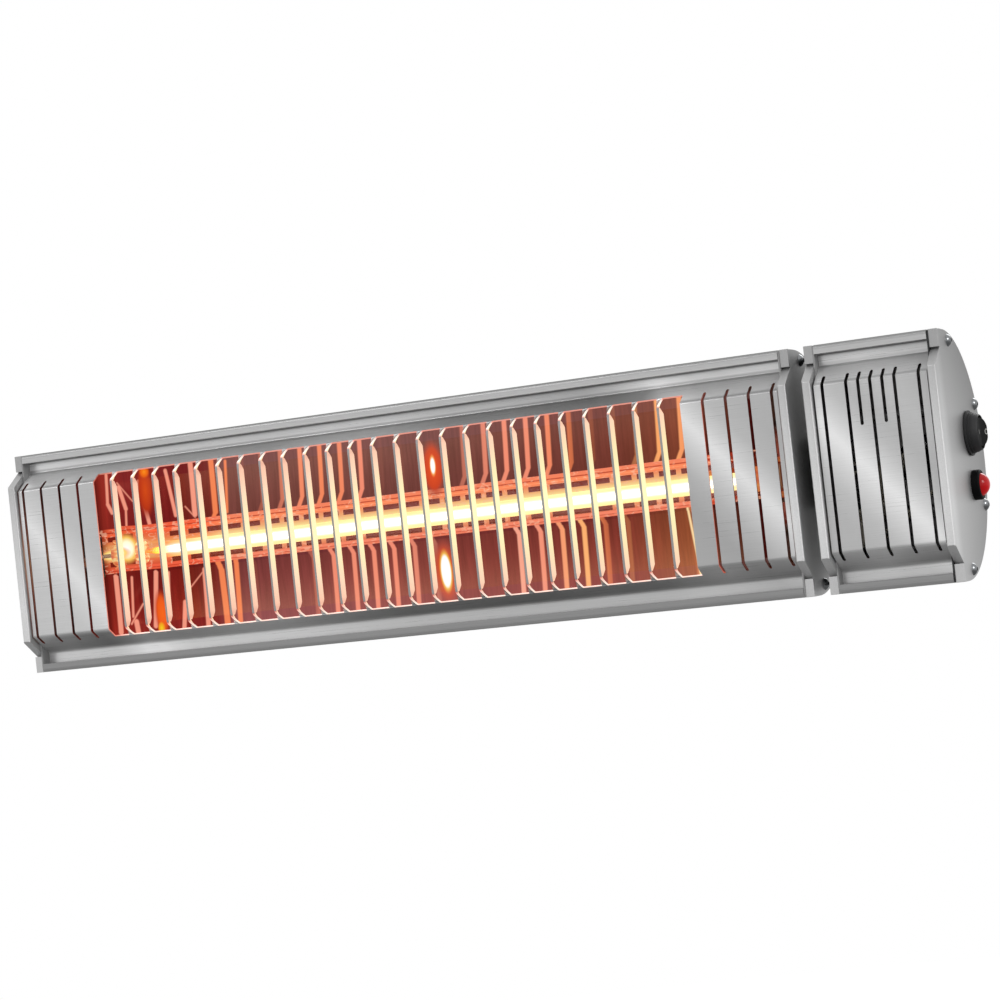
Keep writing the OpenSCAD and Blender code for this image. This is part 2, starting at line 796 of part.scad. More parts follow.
module lamp_clips() {
  side = cap_w / 2 + face_gap;
  path = both_halves([
    [clip_back_y - stand_t, side],
    [lamp_y - clip_reach, side],
    [lamp_y - clip_reach - 2 * clip_lip, side + clip_lip]
  ]);
  color(steel_col) in_body() at_both_lamp_ends()
    along_x(clip_x, clip_l) polygon(bent_sheet(path, stand_t));
}

module lamp_stands() {
  path = both_halves([
    [clip_back_y, stand_half_w],
    [trough_back_y - stand_t, stand_half_w],
    [trough_back_y - stand_t, stand_foot_z]
  ]);
  color(steel_col) in_body() difference() {
    at_both_lamp_ends() along_x(stand_x, stand_l) polygon(bent_sheet(path, stand_t));
    for (p = stand_rivet_places())
      rod_y(p[0], trough_back_y - stand_t - over, p[1], rivet_r + run_gap, stand_t + 2 * over);
  }
}

module lamp_stand_rivets() {
  color(steel_col) in_body() for (p = stand_rivet_places())
    rivet(p[0], trough_back_y - stand_t, p[1], stand_t + reflector_t);
}

// Insulated leads: a round tube carried along a route whose corners are cut twice to soften them
lead_r = 1.4;
lead_sides = 8;
lead_side_way = [0.31, 0.42, 0.85];

function soften(p) = concat(
  [p[0]],
  [for (i = [0:len(p) - 2]) each [0.75 * p[i] + 0.25 * p[i + 1], 0.25 * p[i] + 0.75 * p[i + 1]]],
  [p[len(p) - 1]]
);
function way_at(p, i) = unit(p[min(i + 1, len(p) - 1)] - p[max(i - 1, 0)]);

module lead(route, r) {
  p = soften(soften(route));
  last = len(p) - 1;
  points = [
    for (i = [0:last])
      let (
        t = i == 0 ? unit(route[1] - route[0])
          : i == last ? unit(route[len(route) - 1] - route[len(route) - 2])
          : way_at(p, i),
        u = unit(cross(lead_side_way, t)),
        v = cross(t, u)
      )
      for (k = [0:lead_sides - 1])
        let (a = 360 * k / lead_sides) p[i] + r * (cos(a) * u + sin(a) * v)
  ];
  sides = [
    for (i = [0:last - 1]) for (k = [0:lead_sides - 1])
      let (
        a = i * lead_sides + k,
        b = i * lead_sides + (k + 1) % lead_sides
      )
      each [[a, a + lead_sides, b], [b, a + lead_sides, b + lead_sides]]
  ];
  first_cap = [for (k = [0:lead_sides - 1]) k];
  last_cap = [for (k = [lead_sides - 1:-1:0]) last * lead_sides + k];
  polyhedron(points, concat(sides, [first_cap, last_cap]));
}

// The terminal block on the inner side of the control section's left plate
terminal_t = 14;
terminal_l = 34;
terminal_h = 16;
terminal_set = 10;
terminal_edge = 26.5;
terminal_y = back_set + terminal_set;
terminal_mid_y = terminal_y + terminal_l / 2;
terminal_z = terminal_edge - half_h;
terminal_top_z = terminal_z + terminal_h;
terminal_way_depth = 6;
terminal_ways = 3;
terminal_way_r = 2.2;
terminal_screw_r = 1.5;
terminal_screw_grip = 4;
terminal_screw_head_r = 2.6;
terminal_screw_head_h = 1.8;
terminal_x = control_x + plate_t;

function terminal_screw_places() = [
  for (s = [-1, 1]) [terminal_mid_y + s * terminal_l / terminal_ways / 2, terminal_z + terminal_h / 2]
];
function terminal_way_y(i) = terminal_y + terminal_l * (i + 0.5) / terminal_ways;

module terminal_block() {
  color(ceramic_col) in_body() difference() {
    translate([terminal_x, terminal_y, terminal_z]) cube([terminal_t, terminal_l, terminal_h]);
    for (i = [0:terminal_ways - 1])
      translate([terminal_x + terminal_t / 2, terminal_way_y(i), terminal_top_z - terminal_way_depth])
        cylinder(r = terminal_way_r, h = terminal_h);
    for (p = terminal_screw_places())
      rod_x(terminal_x - over, p[0], p[1], terminal_screw_r + run_gap, terminal_t + 2 * over);
  }
}

module terminal_screws() {
  color(steel_col) in_body() for (p = terminal_screw_places())
    dome_screw(
      terminal_x + terminal_t, p[0], p[1], terminal_screw_r,
      terminal_t + terminal_screw_grip - face_gap, terminal_screw_head_r, terminal_screw_head_h
    );
}

// Routes of the leads, by the pieces that they run between
lead_back_y = (trough_back_y + channel_y) / 2;
lead_bend = 10 * lead_r;
lead_turn_x = plate_t + gasket_t + lead_bend;
neck_turn_x = main_l - plate_t - lead_bend;
lead_out_x = terminal_x + terminal_t + 6 * lead_r;
lead_top_z = terminal_top_z - terminal_way_depth;
switch_lead_z = terminal_top_z - lead_r * 1.5;

module lamp_leads() {
  color(lead_col) in_body() {
    lead([
      [left_cap_x, lamp_y, 0],
      [lead_turn_x, lamp_y, 0],
      [lead_turn_x, lead_back_y, -trough_half_h],
      [lead_turn_x + lead_bend, lead_back_y, -trough_half_h],
      [neck_turn_x - lead_bend / 2, lead_back_y, -trough_half_h],
      [neck_turn_x, lead_back_y, -trough_half_h],
      [main_l - plate_t, neck_y, -2 * lead_r],
      [control_x + plate_t, neck_y, -2 * lead_r],
      [lead_out_x, neck_y, -2 * lead_r],
      [lead_out_x, terminal_way_y(1), terminal_top_z + 6 * lead_r],
      [terminal_x + terminal_t / 2, terminal_way_y(1), terminal_top_z + 4 * lead_r],
      [terminal_x + terminal_t / 2, terminal_way_y(1), lead_top_z]
    ], lead_r);
    lead([
      [right_cap_x + cap_l, lamp_y, 0],
      [right_cap_x + cap_l + 3 * lead_r, lamp_y, 0],
      [main_l - plate_t - 4 * lead_r, neck_y, 2 * lead_r],
      [control_x + plate_t, neck_y, 2 * lead_r],
      [lead_out_x, neck_y, 2 * lead_r],
      [lead_out_x, terminal_way_y(0), terminal_top_z + 6 * lead_r],
      [terminal_x + terminal_t / 2, terminal_way_y(0), terminal_top_z + 4 * lead_r],
      [terminal_x + terminal_t / 2, terminal_way_y(0), lead_top_z]
    ], lead_r);
  }
}

// The rocker switch in its splash collar
pivot_in = 1;
switch_l = 20;
switch_flange_t = 1.2;
switch_flange_lip = 1.4;
switch_flange_r = switch_body_r + switch_flange_lip;
switch_floor = 7;
rocker_pin_r = 1.2;
rocker_mid_h = 9;
rocker_under = 3.5;
blade_w = 4.8;
blade_t = 0.8;
blade_l = 7;
blade_y = 5;
collar_step_h = 1.6;
collar_top_wall = 0.7;
collar_groove = 1.4;

// Places on the right end plate are given from its outer face, along the axis of the switch
module at_switch() {
  translate([overall_l, controls_y, switch_z]) children();
}
module turned_x() {
  rotate([0, 90, 0]) rotate_extrude() children();
}

module switch_body() {
  color(black_col) in_body() at_switch() difference() {
    union() {
      rod_x(-switch_l, 0, 0, switch_body_r, switch_l + face_gap);
      rod_x(0, 0, 0, switch_flange_r, switch_flange_t);
      for (y = [-blade_y, blade_y])
        translate([-switch_l - blade_l, y - blade_t / 2, -blade_w / 2])
          cube([blade_l + over, blade_t, blade_w]);
    }
    rod_x(-switch_floor, 0, 0, switch_bore_r, switch_floor + switch_flange_t + over);
    translate([-pivot_in, 0, -switch_body_r - over])
      cylinder(r = rocker_pin_r + run_gap, h = 2 * (switch_body_r + over), $fn = 32);
  }
}

module switch_collar() {
  r0 = switch_base_r;
  r1 = r0 - collar_groove;
  r2 = switch_bore_r + collar_top_wall;
  recess_r = switch_flange_r + face_gap;
  color(rubber_col) in_body() at_switch() turned_x() polygon([
    [recess_r, 0], [r0 - collar_groove / 3, 0], [r0, collar_groove / 3], [r0, collar_step_h],
    [r1, collar_step_h], [r1, 2 * collar_step_h],
    [r1 - collar_groove / 3, 2 * collar_step_h], [r1 - collar_groove / 3, 3 * collar_step_h],
    [r2, collar_h - collar_groove / 3], [r2 - collar_groove / 3, collar_h],
    [switch_bore_r, collar_h], [switch_bore_r, switch_flange_t + face_gap],
    [recess_r, switch_flange_t + face_gap]
  ]);
}

// At rest the side nearest to the room is pressed in, which is ON
module switch_rocker() {
  rise = rocker_r * tan(rocker_travel / 2);
  round_r = sqrt(pow(rocker_r, 2) + pow(rocker_mid_h + rise / 2, 2));
  color(black_col) in_body() at_switch() translate([-pivot_in, 0, 0])
    rotate([0, 0, -rocker_travel / 2]) {
      intersection() {
        rod_x(-rocker_under, 0, 0, rocker_r, 2 * round_r);
        translate([0, 0, -rocker_r - over]) cylinder(r = round_r, h = 2 * (rocker_r + over), $fn = 128);
        translate([0, 0, -rocker_r - over]) linear_extrude(2 * (rocker_r + over)) polygon([
          [-rocker_under, -rocker_r - over], [-rocker_under, rocker_r + over],
          [rocker_mid_h + rise * (rocker_r + over) / rocker_r, rocker_r + over],
          [rocker_mid_h, 0],
          [rocker_mid_h + rise * (rocker_r + over) / rocker_r, -rocker_r - over]
        ]);
      }
      translate([0, 0, -switch_body_r + face_gap])
        cylinder(r = rocker_pin_r, h = 2 * (switch_body_r - face_gap), $fn = 32);
    }
}

module switch_leads() {
  tab_x = overall_l - switch_l - blade_l;
  color(lead_col) in_body() for (s = [-1, 1])
    lead([
      [tab_x, controls_y + s * blade_y, switch_z],
      [tab_x - 6 * lead_r, controls_y + s * blade_y, switch_z],
      [terminal_x + terminal_t + 8 * lead_r, terminal_mid_y + s * blade_y, -neck_r],
      [terminal_x + terminal_t + 4 * lead_r, terminal_mid_y + s * blade_y, switch_lead_z],
      [terminal_x + terminal_t, terminal_mid_y + s * blade_y, switch_lead_z]
    ], lead_r);
}

// The pilot light: a round body through the plate, a dark ring, a red dome and a nut inside
pilot_l = 14;
pilot_flange_t = 0.8;
pilot_ring_round = 1.2;
pilot_nut_af = 14;
pilot_nut_t = 3;
pilot_lead_r = 0.8;
pilot_way = terminal_l / 3;
pilot_way_z = terminal_z + terminal_h / 4;

module at_pilot() {
  translate([overall_l, controls_y, -pilot_drop]) children();
}

module pilot_body() {
  color(black_col) in_body() at_pilot() {
    rod_x(-plate_t - pilot_l, 0, 0, pilot_body_r, plate_t + pilot_l + pilot_flange_t / 2);
    rod_x(0, 0, 0, pilot_dome_r, pilot_flange_t);
  }
}

module pilot_ring() {
  c = pilot_ring_round;
  color(rubber_col) in_body() at_pilot() turned_x() polygon(concat(
    [[pilot_dome_r + face_gap, 0], [pilot_ring_r, 0]],
    corner([pilot_ring_r, 0], [pilot_ring_r, pilot_ring_h], [pilot_dome_r, pilot_ring_h], c),
    [[pilot_dome_r + face_gap, pilot_ring_h]]
  ));
}

module pilot_lens() {
  color(red_col) in_body() at_pilot() {
    dome_x(pilot_ring_h, 0, 0, pilot_dome_r, pilot_dome_h);
    rod_x(pilot_flange_t, 0, 0, pilot_dome_r, pilot_ring_h - pilot_flange_t);
  }
}

module pilot_nut() {
  color(black_col) in_body() at_pilot() difference() {
    hex_x(-plate_t - pilot_nut_t, 0, 0, pilot_nut_af, pilot_nut_t);
    rod_x(-plate_t - pilot_nut_t - over, 0, 0, pilot_body_r + run_gap, pilot_nut_t + 2 * over);
  }
}

module pilot_leads() {
  end_x = overall_l - plate_t - pilot_l;
  side = pilot_body_r / 2;
  color(lead_col) in_body() for (s = [-1, 1])
    lead([
      [end_x, controls_y + s * side, -pilot_drop],
      [end_x - 8 * pilot_lead_r, controls_y + s * side, -pilot_drop],
      [terminal_x + terminal_t + 8 * pilot_lead_r, terminal_mid_y + s * pilot_way, pilot_way_z],
      [terminal_x + terminal_t, terminal_mid_y + s * pilot_way, pilot_way_z]
    ], pilot_lead_r);
}

earth_share = 0.75;
earth_set = neck_r * earth_share;

module earth_lead() {
  color(earth_col) in_body()
    lead([
      [terminal_x + terminal_t / 2, terminal_way_y(2), lead_top_z],
      [terminal_x + terminal_t / 2, terminal_way_y(2), terminal_top_z + 4 * lead_r],
      [terminal_x + terminal_t, neck_y + neck_r, -neck_r],
      [terminal_x + lead_r * 4, neck_y + earth_set, -earth_set],
      [terminal_x, neck_y + earth_set, -earth_set]
    ], lead_r);
}

// The cable gland in the flat back of the control section: the inlet only, with no cable
gland_x = control_x + control_l / 2;
gland_af = 20;
gland_locknut_af = 22;
gland_collar_t = 5;
gland_in = 9;
gland_locknut_t = 4;
gland_nose_r = 6.5;
gland_neck_r = 6.6;

module gland_body() {
  inner_y = channel_y - wall;
  color(black_col) in_body() difference() {
    union() {
      rod_y(gland_x, inner_y - gland_in, 0, gland_r, back_flat_y - inner_y + gland_in + face_gap);
      hex_y(gland_x, back_flat_y, 0, gland_af, gland_collar_t);
      rod_y(gland_x, back_flat_y + gland_collar_t - face_gap, 0, gland_neck_r, gland_nut_l / 2);
    }
    rod_y(gland_x, inner_y - gland_in - over, 0, cable_r, body_h);
  }
}

module gland_locknut() {
  y = channel_y - wall - gland_locknut_t;
  color(black_col) in_body() difference() {
    hex_y(gland_x, y, 0, gland_locknut_af, gland_locknut_t);
    rod_y(gland_x, y - over, 0, gland_r + run_gap, gland_locknut_t + 2 * over);
  }
}

gland_nut_y = back_flat_y + gland_collar_t + face_gap;
gland_neck_end_y = back_flat_y + gland_collar_t - face_gap + gland_nut_l / 2;
gland_seal_t = gland_nut_y + gland_nut_l - wall - face_gap - gland_neck_end_y;
gland_mouth_gap = 0.6;
gland_mouth_lip = 1.2;
gland_dome_steps = 6;

module gland_seal() {
  color(rubber_col) in_body() difference() {
    rod_y(gland_x, gland_neck_end_y, 0, gland_nose_r, gland_seal_t);
    rod_y(gland_x, gland_neck_end_y - over, 0, cable_r, gland_seal_t + 2 * over);
  }
}

module gland_nut() {
  r = gland_af / 2;
  l = gland_nut_l;
  bore = gland_neck_r + run_gap;
  mouth_r = cable_r + gland_mouth_lip;
  color(black_col) in_body() translate([gland_x, gland_nut_y, 0]) rotate([-90, 0, 0])
    rotate_extrude() polygon(concat(
      [[bore, 0], [r, 0], [r, l / 2]],
      [for (i = [1:gland_dome_steps])
        let (a = 90 * i / gland_dome_steps) [mouth_r + (r - mouth_r) * cos(a), l / 2 + l / 2 * sin(a)]],
      [[cable_r + gland_mouth_gap, l], [cable_r + gland_mouth_gap, l - wall], [bore, l - wall]]
    ));
}

// The brackets: two bent steel channels, one on the wall and one on the body, that meet at the pivot
ear_in = bracket_w / 2 - bracket_t;
tilt_half_w = ear_in - washer_t - face_gap;
bend_inner_r = 1;
bend_r = bracket_t + bend_inner_r;
pivot_head_af = 13;
pivot_head_h = 5.3;
pivot_nut_h = 6.5;

// A channel of sheet with its base on Y = 0 and its legs along +Y, half_w over the outside, h high
module channel(half_w, depth, h) {
  path = rounded([[-half_w, depth], [-half_w, 0], [half_w, 0], [half_w, depth]], bend_r);
  translate([0, 0, -h / 2]) linear_extrude(h)
    polygon(concat(path, [for (i = [len(path) - 1:-1:0]) beside(path, i, -bracket_t)]));
}

// The side view of a channel with round ears: base height h, pivot at the given depth
module ear_outline(depth, h) {
  base = 2 * bend_r;
  polygon([
    [0, -h / 2], [base, -h / 2], [depth, -ear_r], [depth, ear_r], [base, h / 2], [0, h / 2]
  ]);
  translate([depth, 0]) circle(r = ear_r);
}

module ear_channel(half_w, depth, h) {
  intersection() {
    channel(half_w, depth + ear_r + over, h);
    along_x(-half_w - over, 2 * (half_w + over)) ear_outline(depth, h);
  }
}

// The wall bracket's base lies on the wall and its ears point to the room
module wall_bracket() {
  color(steel_col) difference() {
    mirror([0, 1, 0]) ear_channel(bracket_w / 2, pivot_out, bracket_h);
    for (x = [-screw_span_x / 2, screw_span_x / 2]) for (z = [-screw_span_z / 2, screw_span_z / 2])
      rod_y(x, -bracket_t - over, z, wall_hole_r, bracket_t + 2 * over);
    rod_x(-bracket_w, -pivot_out, 0, pivot_r + screw_gap, 2 * bracket_w);
  }
}

module tilt_bracket() {
  color(steel_col) difference() {
    translate([0, back_flat_y - face_out, 0]) ear_channel(tilt_half_w, pivot_to_back, tilt_base_h);
    rod_x(-bracket_w, -pivot_out, 0, pivot_r + run_gap, 2 * bracket_w);
    for (x = [-channel_bolt_span / 2, channel_bolt_span / 2])
      rod_y(x, back_flat_y - face_out - over, 0, channel_bolt_r + screw_gap, bracket_t + 2 * over);
  }
}

// Whatever is made for the right-hand pivot, and its mirror image at the left
module at_both_pivots() {
  for (side = [0, 1]) mirror([side, 0, 0]) translate([0, -pivot_out, 0]) children();
}

module pivot_bolts() {
  l = 2 * bracket_t + 2 * washer_t + 2 * face_gap + pivot_nut_h + pivot_r / 2;
  color(steel_col) at_both_pivots() {
    hex_x(bracket_w / 2, 0, 0, pivot_head_af, pivot_head_h);
    rod_x(bracket_w / 2 - l, 0, 0, pivot_r, l + pivot_head_h / 2);
  }
}

module pivot_washers() {
  color(steel_col) at_both_pivots()
    for (x = [ear_in - washer_t, tilt_half_w - bracket_t - face_gap - washer_t]) difference() {
      rod_x(x, 0, 0, ear_r - over, washer_t);
      rod_x(x - over, 0, 0, pivot_r + run_gap, washer_t + 2 * over);
    }
}

module pivot_nuts() {
  x = tilt_half_w - bracket_t - face_gap - washer_t - pivot_nut_h;
  color(steel_col) at_both_pivots() difference() {
    hex_x(x, 0, 0, pivot_head_af, pivot_nut_h);
    rod_x(x - over, 0, 0, pivot_r + run_gap, pivot_nut_h + 2 * over);
  }
}

// The two bolts whose heads lie in the body's back channel, and their flanged nuts
channel_nut_h = 5;
channel_nut_flange_r = 6.5;
channel_nut_flange_t = 1.2;

module channel_bolts() {
  l = channel_lip_t + bracket_t + channel_nut_flange_t + channel_nut_h + channel_bolt_r / 2;
  color(steel_col) for (x = [-channel_bolt_span / 2, channel_bolt_span / 2])
    translate([x, back_flat_y - channel_lip_t - face_out, 0]) {
      hex_y(0, -channel_head_h, 0, channel_af, channel_head_h);
      rod_y(0, -channel_head_h / 2, 0, channel_bolt_r, l + channel_head_h / 2);
    }
}

module channel_nuts() {
  y = back_flat_y + bracket_t - face_out;
  color(steel_col) for (x = [-channel_bolt_span / 2, channel_bolt_span / 2]) difference() {
    union() {
      rod_y(x, y, 0, channel_nut_flange_r, channel_nut_flange_t);
      hex_y(x, y, 0, channel_af, channel_nut_flange_t + channel_nut_h);
    }
    rod_y(x, y - over, 0, channel_bolt_r + run_gap, channel_nut_flange_t + channel_nut_h + 2 * over);
  }
}

wall_bracket();
pivot_bolts();
pivot_washers();
pivot_nuts();
tilt_bracket();
channel_bolts();
channel_nuts();
main_housing();
control_housing();
grille();
control_cover();
main_left_plate();
main_right_plate();
control_left_plate();
control_right_plate();
main_left_gasket();
main_right_gasket();
control_left_gasket();
control_right_gasket();
end_plate_screws();
neck();
neck_grommet();
neck_bolts();
neck_nuts();
reflector();
left_end_reflector();
right_end_reflector();
end_reflector_rivets();
quartz_tube();
filament();
lamp_caps();
lamp_clips();
lamp_stands();
lamp_stand_rivets();
lamp_leads();
terminal_block();
terminal_screws();
earth_lead();
switch_body();
switch_collar();
switch_rocker();
switch_leads();
pilot_body();
pilot_ring();
pilot_lens();
pilot_nut();
pilot_leads();
gland_body();
gland_locknut();
gland_seal();
gland_nut();
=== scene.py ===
# %% [markdown]
# # An electric bar heater
# The heater is a long aluminium extrusion with a folded stainless cover. One infrared lamp glows in
# a trough behind windows whose bars are turned edge-on, and a short control section carries the
# switch and the pilot light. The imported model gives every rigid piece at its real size, so this
# lesson finishes those pieces and makes anew the ones whose surface counts most.

# %% The frame, and millimetres in it
import json

import bmesh
import bpy
import numpy as np
from mathutils import Matrix, Vector

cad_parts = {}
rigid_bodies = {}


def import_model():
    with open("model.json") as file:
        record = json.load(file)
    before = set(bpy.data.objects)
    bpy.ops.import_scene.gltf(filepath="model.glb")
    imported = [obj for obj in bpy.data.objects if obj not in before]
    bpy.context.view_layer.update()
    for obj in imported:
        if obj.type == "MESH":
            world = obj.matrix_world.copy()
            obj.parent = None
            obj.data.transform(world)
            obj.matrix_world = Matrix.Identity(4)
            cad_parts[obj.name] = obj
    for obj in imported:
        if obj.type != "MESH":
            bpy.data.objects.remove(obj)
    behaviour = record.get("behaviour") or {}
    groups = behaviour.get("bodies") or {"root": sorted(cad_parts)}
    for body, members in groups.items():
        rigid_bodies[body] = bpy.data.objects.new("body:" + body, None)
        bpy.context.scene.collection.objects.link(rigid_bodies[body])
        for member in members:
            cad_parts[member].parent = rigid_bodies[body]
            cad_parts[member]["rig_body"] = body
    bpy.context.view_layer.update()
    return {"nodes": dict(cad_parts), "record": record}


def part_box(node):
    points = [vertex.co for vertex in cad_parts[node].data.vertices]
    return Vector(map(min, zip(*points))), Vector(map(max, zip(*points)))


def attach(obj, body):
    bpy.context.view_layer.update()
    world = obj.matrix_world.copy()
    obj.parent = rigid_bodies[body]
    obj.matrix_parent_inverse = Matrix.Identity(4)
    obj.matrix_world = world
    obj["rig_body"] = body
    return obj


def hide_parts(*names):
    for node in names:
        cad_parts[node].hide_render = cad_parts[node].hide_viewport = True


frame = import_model()
scene = bpy.context.scene

MM = 0.001
LEFT_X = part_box("main_left_plate")[0].x
FACE_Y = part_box("grille")[0].y
ORIGIN = np.array([LEFT_X, FACE_Y, 0.0])


def place(points):
    """Takes drawing places to the frame: millimetres from the left end, from the cover's face back
    and from mid height, times a thousandth, plus the place of that corner in the frame."""
    return np.asarray(points, float) * MM + ORIGIN


def drawn(node):
    """The lowest and highest corner of a CAD node in drawing millimetres."""
    return [(np.array(corner) - ORIGIN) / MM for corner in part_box(node)]


# %% [markdown]
# ## The camera
# The photograph was taken from the right and a little low, with the camera rolled so that the heater
# climbs to the right. A camera is a place and three directions: right, up and back. They are worked
# out from azimuth, elevation and roll, and put into its matrix as columns.

# %% Camera
CAMERA_PLACE = (0.68575, -1.63512, -0.03575)
AZIMUTH, ELEVATION, ROLL = np.radians([23.743, -1.458, -6.232])
LENS, SENSOR = 90.62, 36.0


def camera_matrix(azimuth, elevation, roll):
    """Right, up and back: back points from the object to the camera, right is level, up is at right
    angles to both, and the roll turns right and up about back."""
    back = np.array([
        np.sin(azimuth) * np.cos(elevation), -np.cos(azimuth) * np.cos(elevation), np.sin(elevation)
    ])
    level = np.array([np.cos(azimuth), np.sin(azimuth), 0.0])
    upright = np.cross(back, level)
    right = np.cos(roll) * level + np.sin(roll) * upright
    up = np.cos(roll) * upright - np.sin(roll) * level
    matrix = np.eye(4)
    matrix[:3, :3] = np.column_stack([right, up, back])
    matrix[:3, 3] = CAMERA_PLACE
    return Matrix(matrix.tolist())


camera_data = bpy.data.cameras.new("camera")
camera_data.lens, camera_data.sensor_width = LENS, SENSOR
camera = bpy.data.objects.new("camera", camera_data)
camera.matrix_world = camera_matrix(AZIMUTH, ELEVATION, ROLL)
scene.collection.objects.link(camera)
scene.camera = camera
scene.view_settings.view_transform = "Standard"
print("camera:", CAMERA_PLACE)

# %% [markdown]
# ## Colours and shader nodes
# Colours are picked as sRGB hex values, but a shader works in linear light, so one function turns
# one into the other. One more adds a node, sets it and links it, which keeps a material down to a
# few lines. Every pattern is drawn on the real place in millimetres.

# %% Helpers for materials


def linear(colour):
    """Takes "#RRGGBB", or "#GG" for a grey, to linear red, green, blue and an alpha of 1, by the
    sRGB curve."""
    digits = colour[1:] if len(colour) == 7 else colour[1:] * 3
    part = np.array([int(digits[i:i + 2], 16) for i in (0, 2, 4)]) / 255
    low, high = part / 12.92, ((part + 0.055) / 1.055) ** 2.4
    return (*np.where(part <= 0.04045, low, high), 1.0)


def connect(tree, node, *values, **sockets):
    """Fills a node's sockets, the first ones in turn and others by name, with _ for a space. A value
    is a number, a colour, or what to link: an output, or a node for its first output in use."""
    for key, value in [*enumerate(values), *sockets.items()]:
        socket = node.inputs[key if isinstance(key, int) else key.replace("_", " ")]
        if isinstance(value, bpy.types.Node):
            value = next(output for output in value.outputs if output.enabled)
        if isinstance(value, bpy.types.NodeSocket):
            tree.links.new(value, socket)
        else:
            socket.default_value = value


def add(tree, kind, *values, stops=None, **named):
    """Adds a shader node and fills its sockets. Names that start with a capital are sockets too, the
    others are the node's own properties, and stops are a ramp's hex colours by place."""
    node = tree.nodes.new("ShaderNode" + kind)
    for name in [name for name in named if name.islower()]:
        setattr(node, name, named.pop(name))
    if stops:
        steps = node.color_ramp.elements
        while len(steps) < len(stops):
            steps.new(1.0)
        for step, (position, colour) in zip(steps, stops.items()):
            step.position, step.color = position, linear(colour)
    connect(tree, node, *values, **named)
    return node


def product(tree, kind, first, *others):
    """The product of numbers (kind Math), vectors (VectorMath) or colours (MixRGB)."""
    for other in others:
        if kind == "MixRGB":
            first = add(tree, kind, 1.0, first, other, blend_type="MULTIPLY")
        else:
            first = add(tree, kind, first, other, operation="MULTIPLY")
    return first


def by_place(tree, value, stops):
    """A ramp over one drawing place: stops are hex colours by millimetres, lowest first."""
    low, high = min(stops), max(stops)
    share = add(tree, "MapRange", value, low, high)
    return add(tree, "ValToRGB", share, stops={(at - low) / (high - low): tone for at, tone in stops.items()})


def by_side(tree, side, value, first, second):
    """Two ramps over one place: the first one's colour where side is 0, the second's where it is 1."""
    return add(tree, "MixRGB", side, by_place(tree, value, first), by_place(tree, value, second))


def new_material(name, **sockets):
    """A material with one Principled shader. It comes with its tree and shader, and with the place
    in drawing millimetres as a vector and as x, y and z: Object coordinates less the corner's."""
    material = bpy.data.materials.new(name)
    material.use_nodes = True
    tree = material.node_tree
    shader = tree.nodes["Principled BSDF"]
    connect(tree, shader, **sockets)
    shifted = add(tree, "VectorMath", add(tree, "TexCoord").outputs["Object"], tuple(-ORIGIN))
    vector = product(tree, "VectorMath", shifted, (1 / MM,) * 3)
    return material, tree, shader, vector, add(tree, "SeparateXYZ", vector).outputs


# %% [markdown]
# ## Floor, light and what the metal reflects
# A pale floor lies far below, so that the heater can be looked at from underneath too. Bare metal
# shows what stands round it, so the world is a studio: bright in front at eye level, grey above and
# below, which gives the folded slopes their darker tone. The camera itself sees plain white.

# %% Floor and world
FLOOR_Z, FLOOR_R, FLOOR_SIDES = -1.9, 9.0, 96
MIRRORED = {0.0: "#8C", 0.2: "#8E", 0.36: "#A8", 0.46: "#E6", 0.54: "#F2", 0.75: "#EE", 1.0: "#F4"}
MATT = {0.0: "#8A", 0.4: "#9A", 0.55: "#F4", 1.0: "#FF"}


def make_floor():
    """A flat disc: points on a circle, one face. The camera sees it as white as the backdrop, and
    for all other light it is pale matt paint."""
    angle = np.linspace(0, 2 * np.pi, FLOOR_SIDES, endpoint=False)
    rim = np.column_stack([FLOOR_R * np.cos(angle), FLOOR_R * np.sin(angle), np.full(FLOOR_SIDES, FLOOR_Z)])
    mesh = bpy.data.meshes.new("floor")
    mesh.from_pydata(rim.tolist(), [], [list(range(FLOOR_SIDES))])
    floor = bpy.data.objects.new("floor", mesh)
    scene.collection.objects.link(floor)
    material, tree, shader, *_ = new_material("white_floor_paint", Roughness=0.9, Base_Color=linear("#E8"))
    seen = add(tree, "LightPath").outputs["Is Camera Ray"]
    connect(tree, shader, Emission_Color=linear("#FF"), Emission_Strength=seen)
    mesh.materials.append(material)
    floor.visible_glossy = False


def make_world():
    """The studio's brightness goes by height: darker below, bright from the level of the heater up.
    The matt light falls mostly from above. The camera sees white in its place."""
    world = bpy.data.worlds.new("studio")
    scene.world = world
    world.use_nodes = True
    tree = world.node_tree
    way = add(tree, "SeparateXYZ", add(tree, "TexCoord").outputs["Generated"])
    height = add(tree, "MapRange", way.outputs["Z"], -1.0, 1.0)
    mirrored, matt = [add(tree, "ValToRGB", height, stops=stops) for stops in (MIRRORED, MATT)]
    ray = add(tree, "LightPath").outputs
    lit = add(tree, "MixRGB", ray["Is Glossy Ray"], matt, mirrored)
    connect(tree, tree.nodes["Background"], add(tree, "MixRGB", ray["Is Camera Ray"], lit, linear("#FF")))


def softbox(name, place_at, aim, width, power):
    """A square area light at place_at that looks at aim."""
    data = bpy.data.lights.new(name, "AREA")
    data.size, data.energy = width, power
    light = bpy.data.objects.new(name, data)
    light.location = place_at
    light.rotation_mode = "QUATERNION"
    light.rotation_quaternion = (Vector(aim) - Vector(place_at)).to_track_quat("-Z", "Y")
    light.visible_camera = False
    scene.collection.objects.link(light)


make_floor()
make_world()
softbox("key_softbox", (-1.4, -2.2, 1.8), (0, -0.1, 0), 1.2, 26)
softbox("side_softbox", (2.4, -0.9, 0.9), (0.3, -0.1, 0), 0.8, 14)
softbox("back_softbox", (0.5, 2.4, 1.5), (0, -0.05, 0), 1.2, 16)
print("floor, world and 3 softboxes")

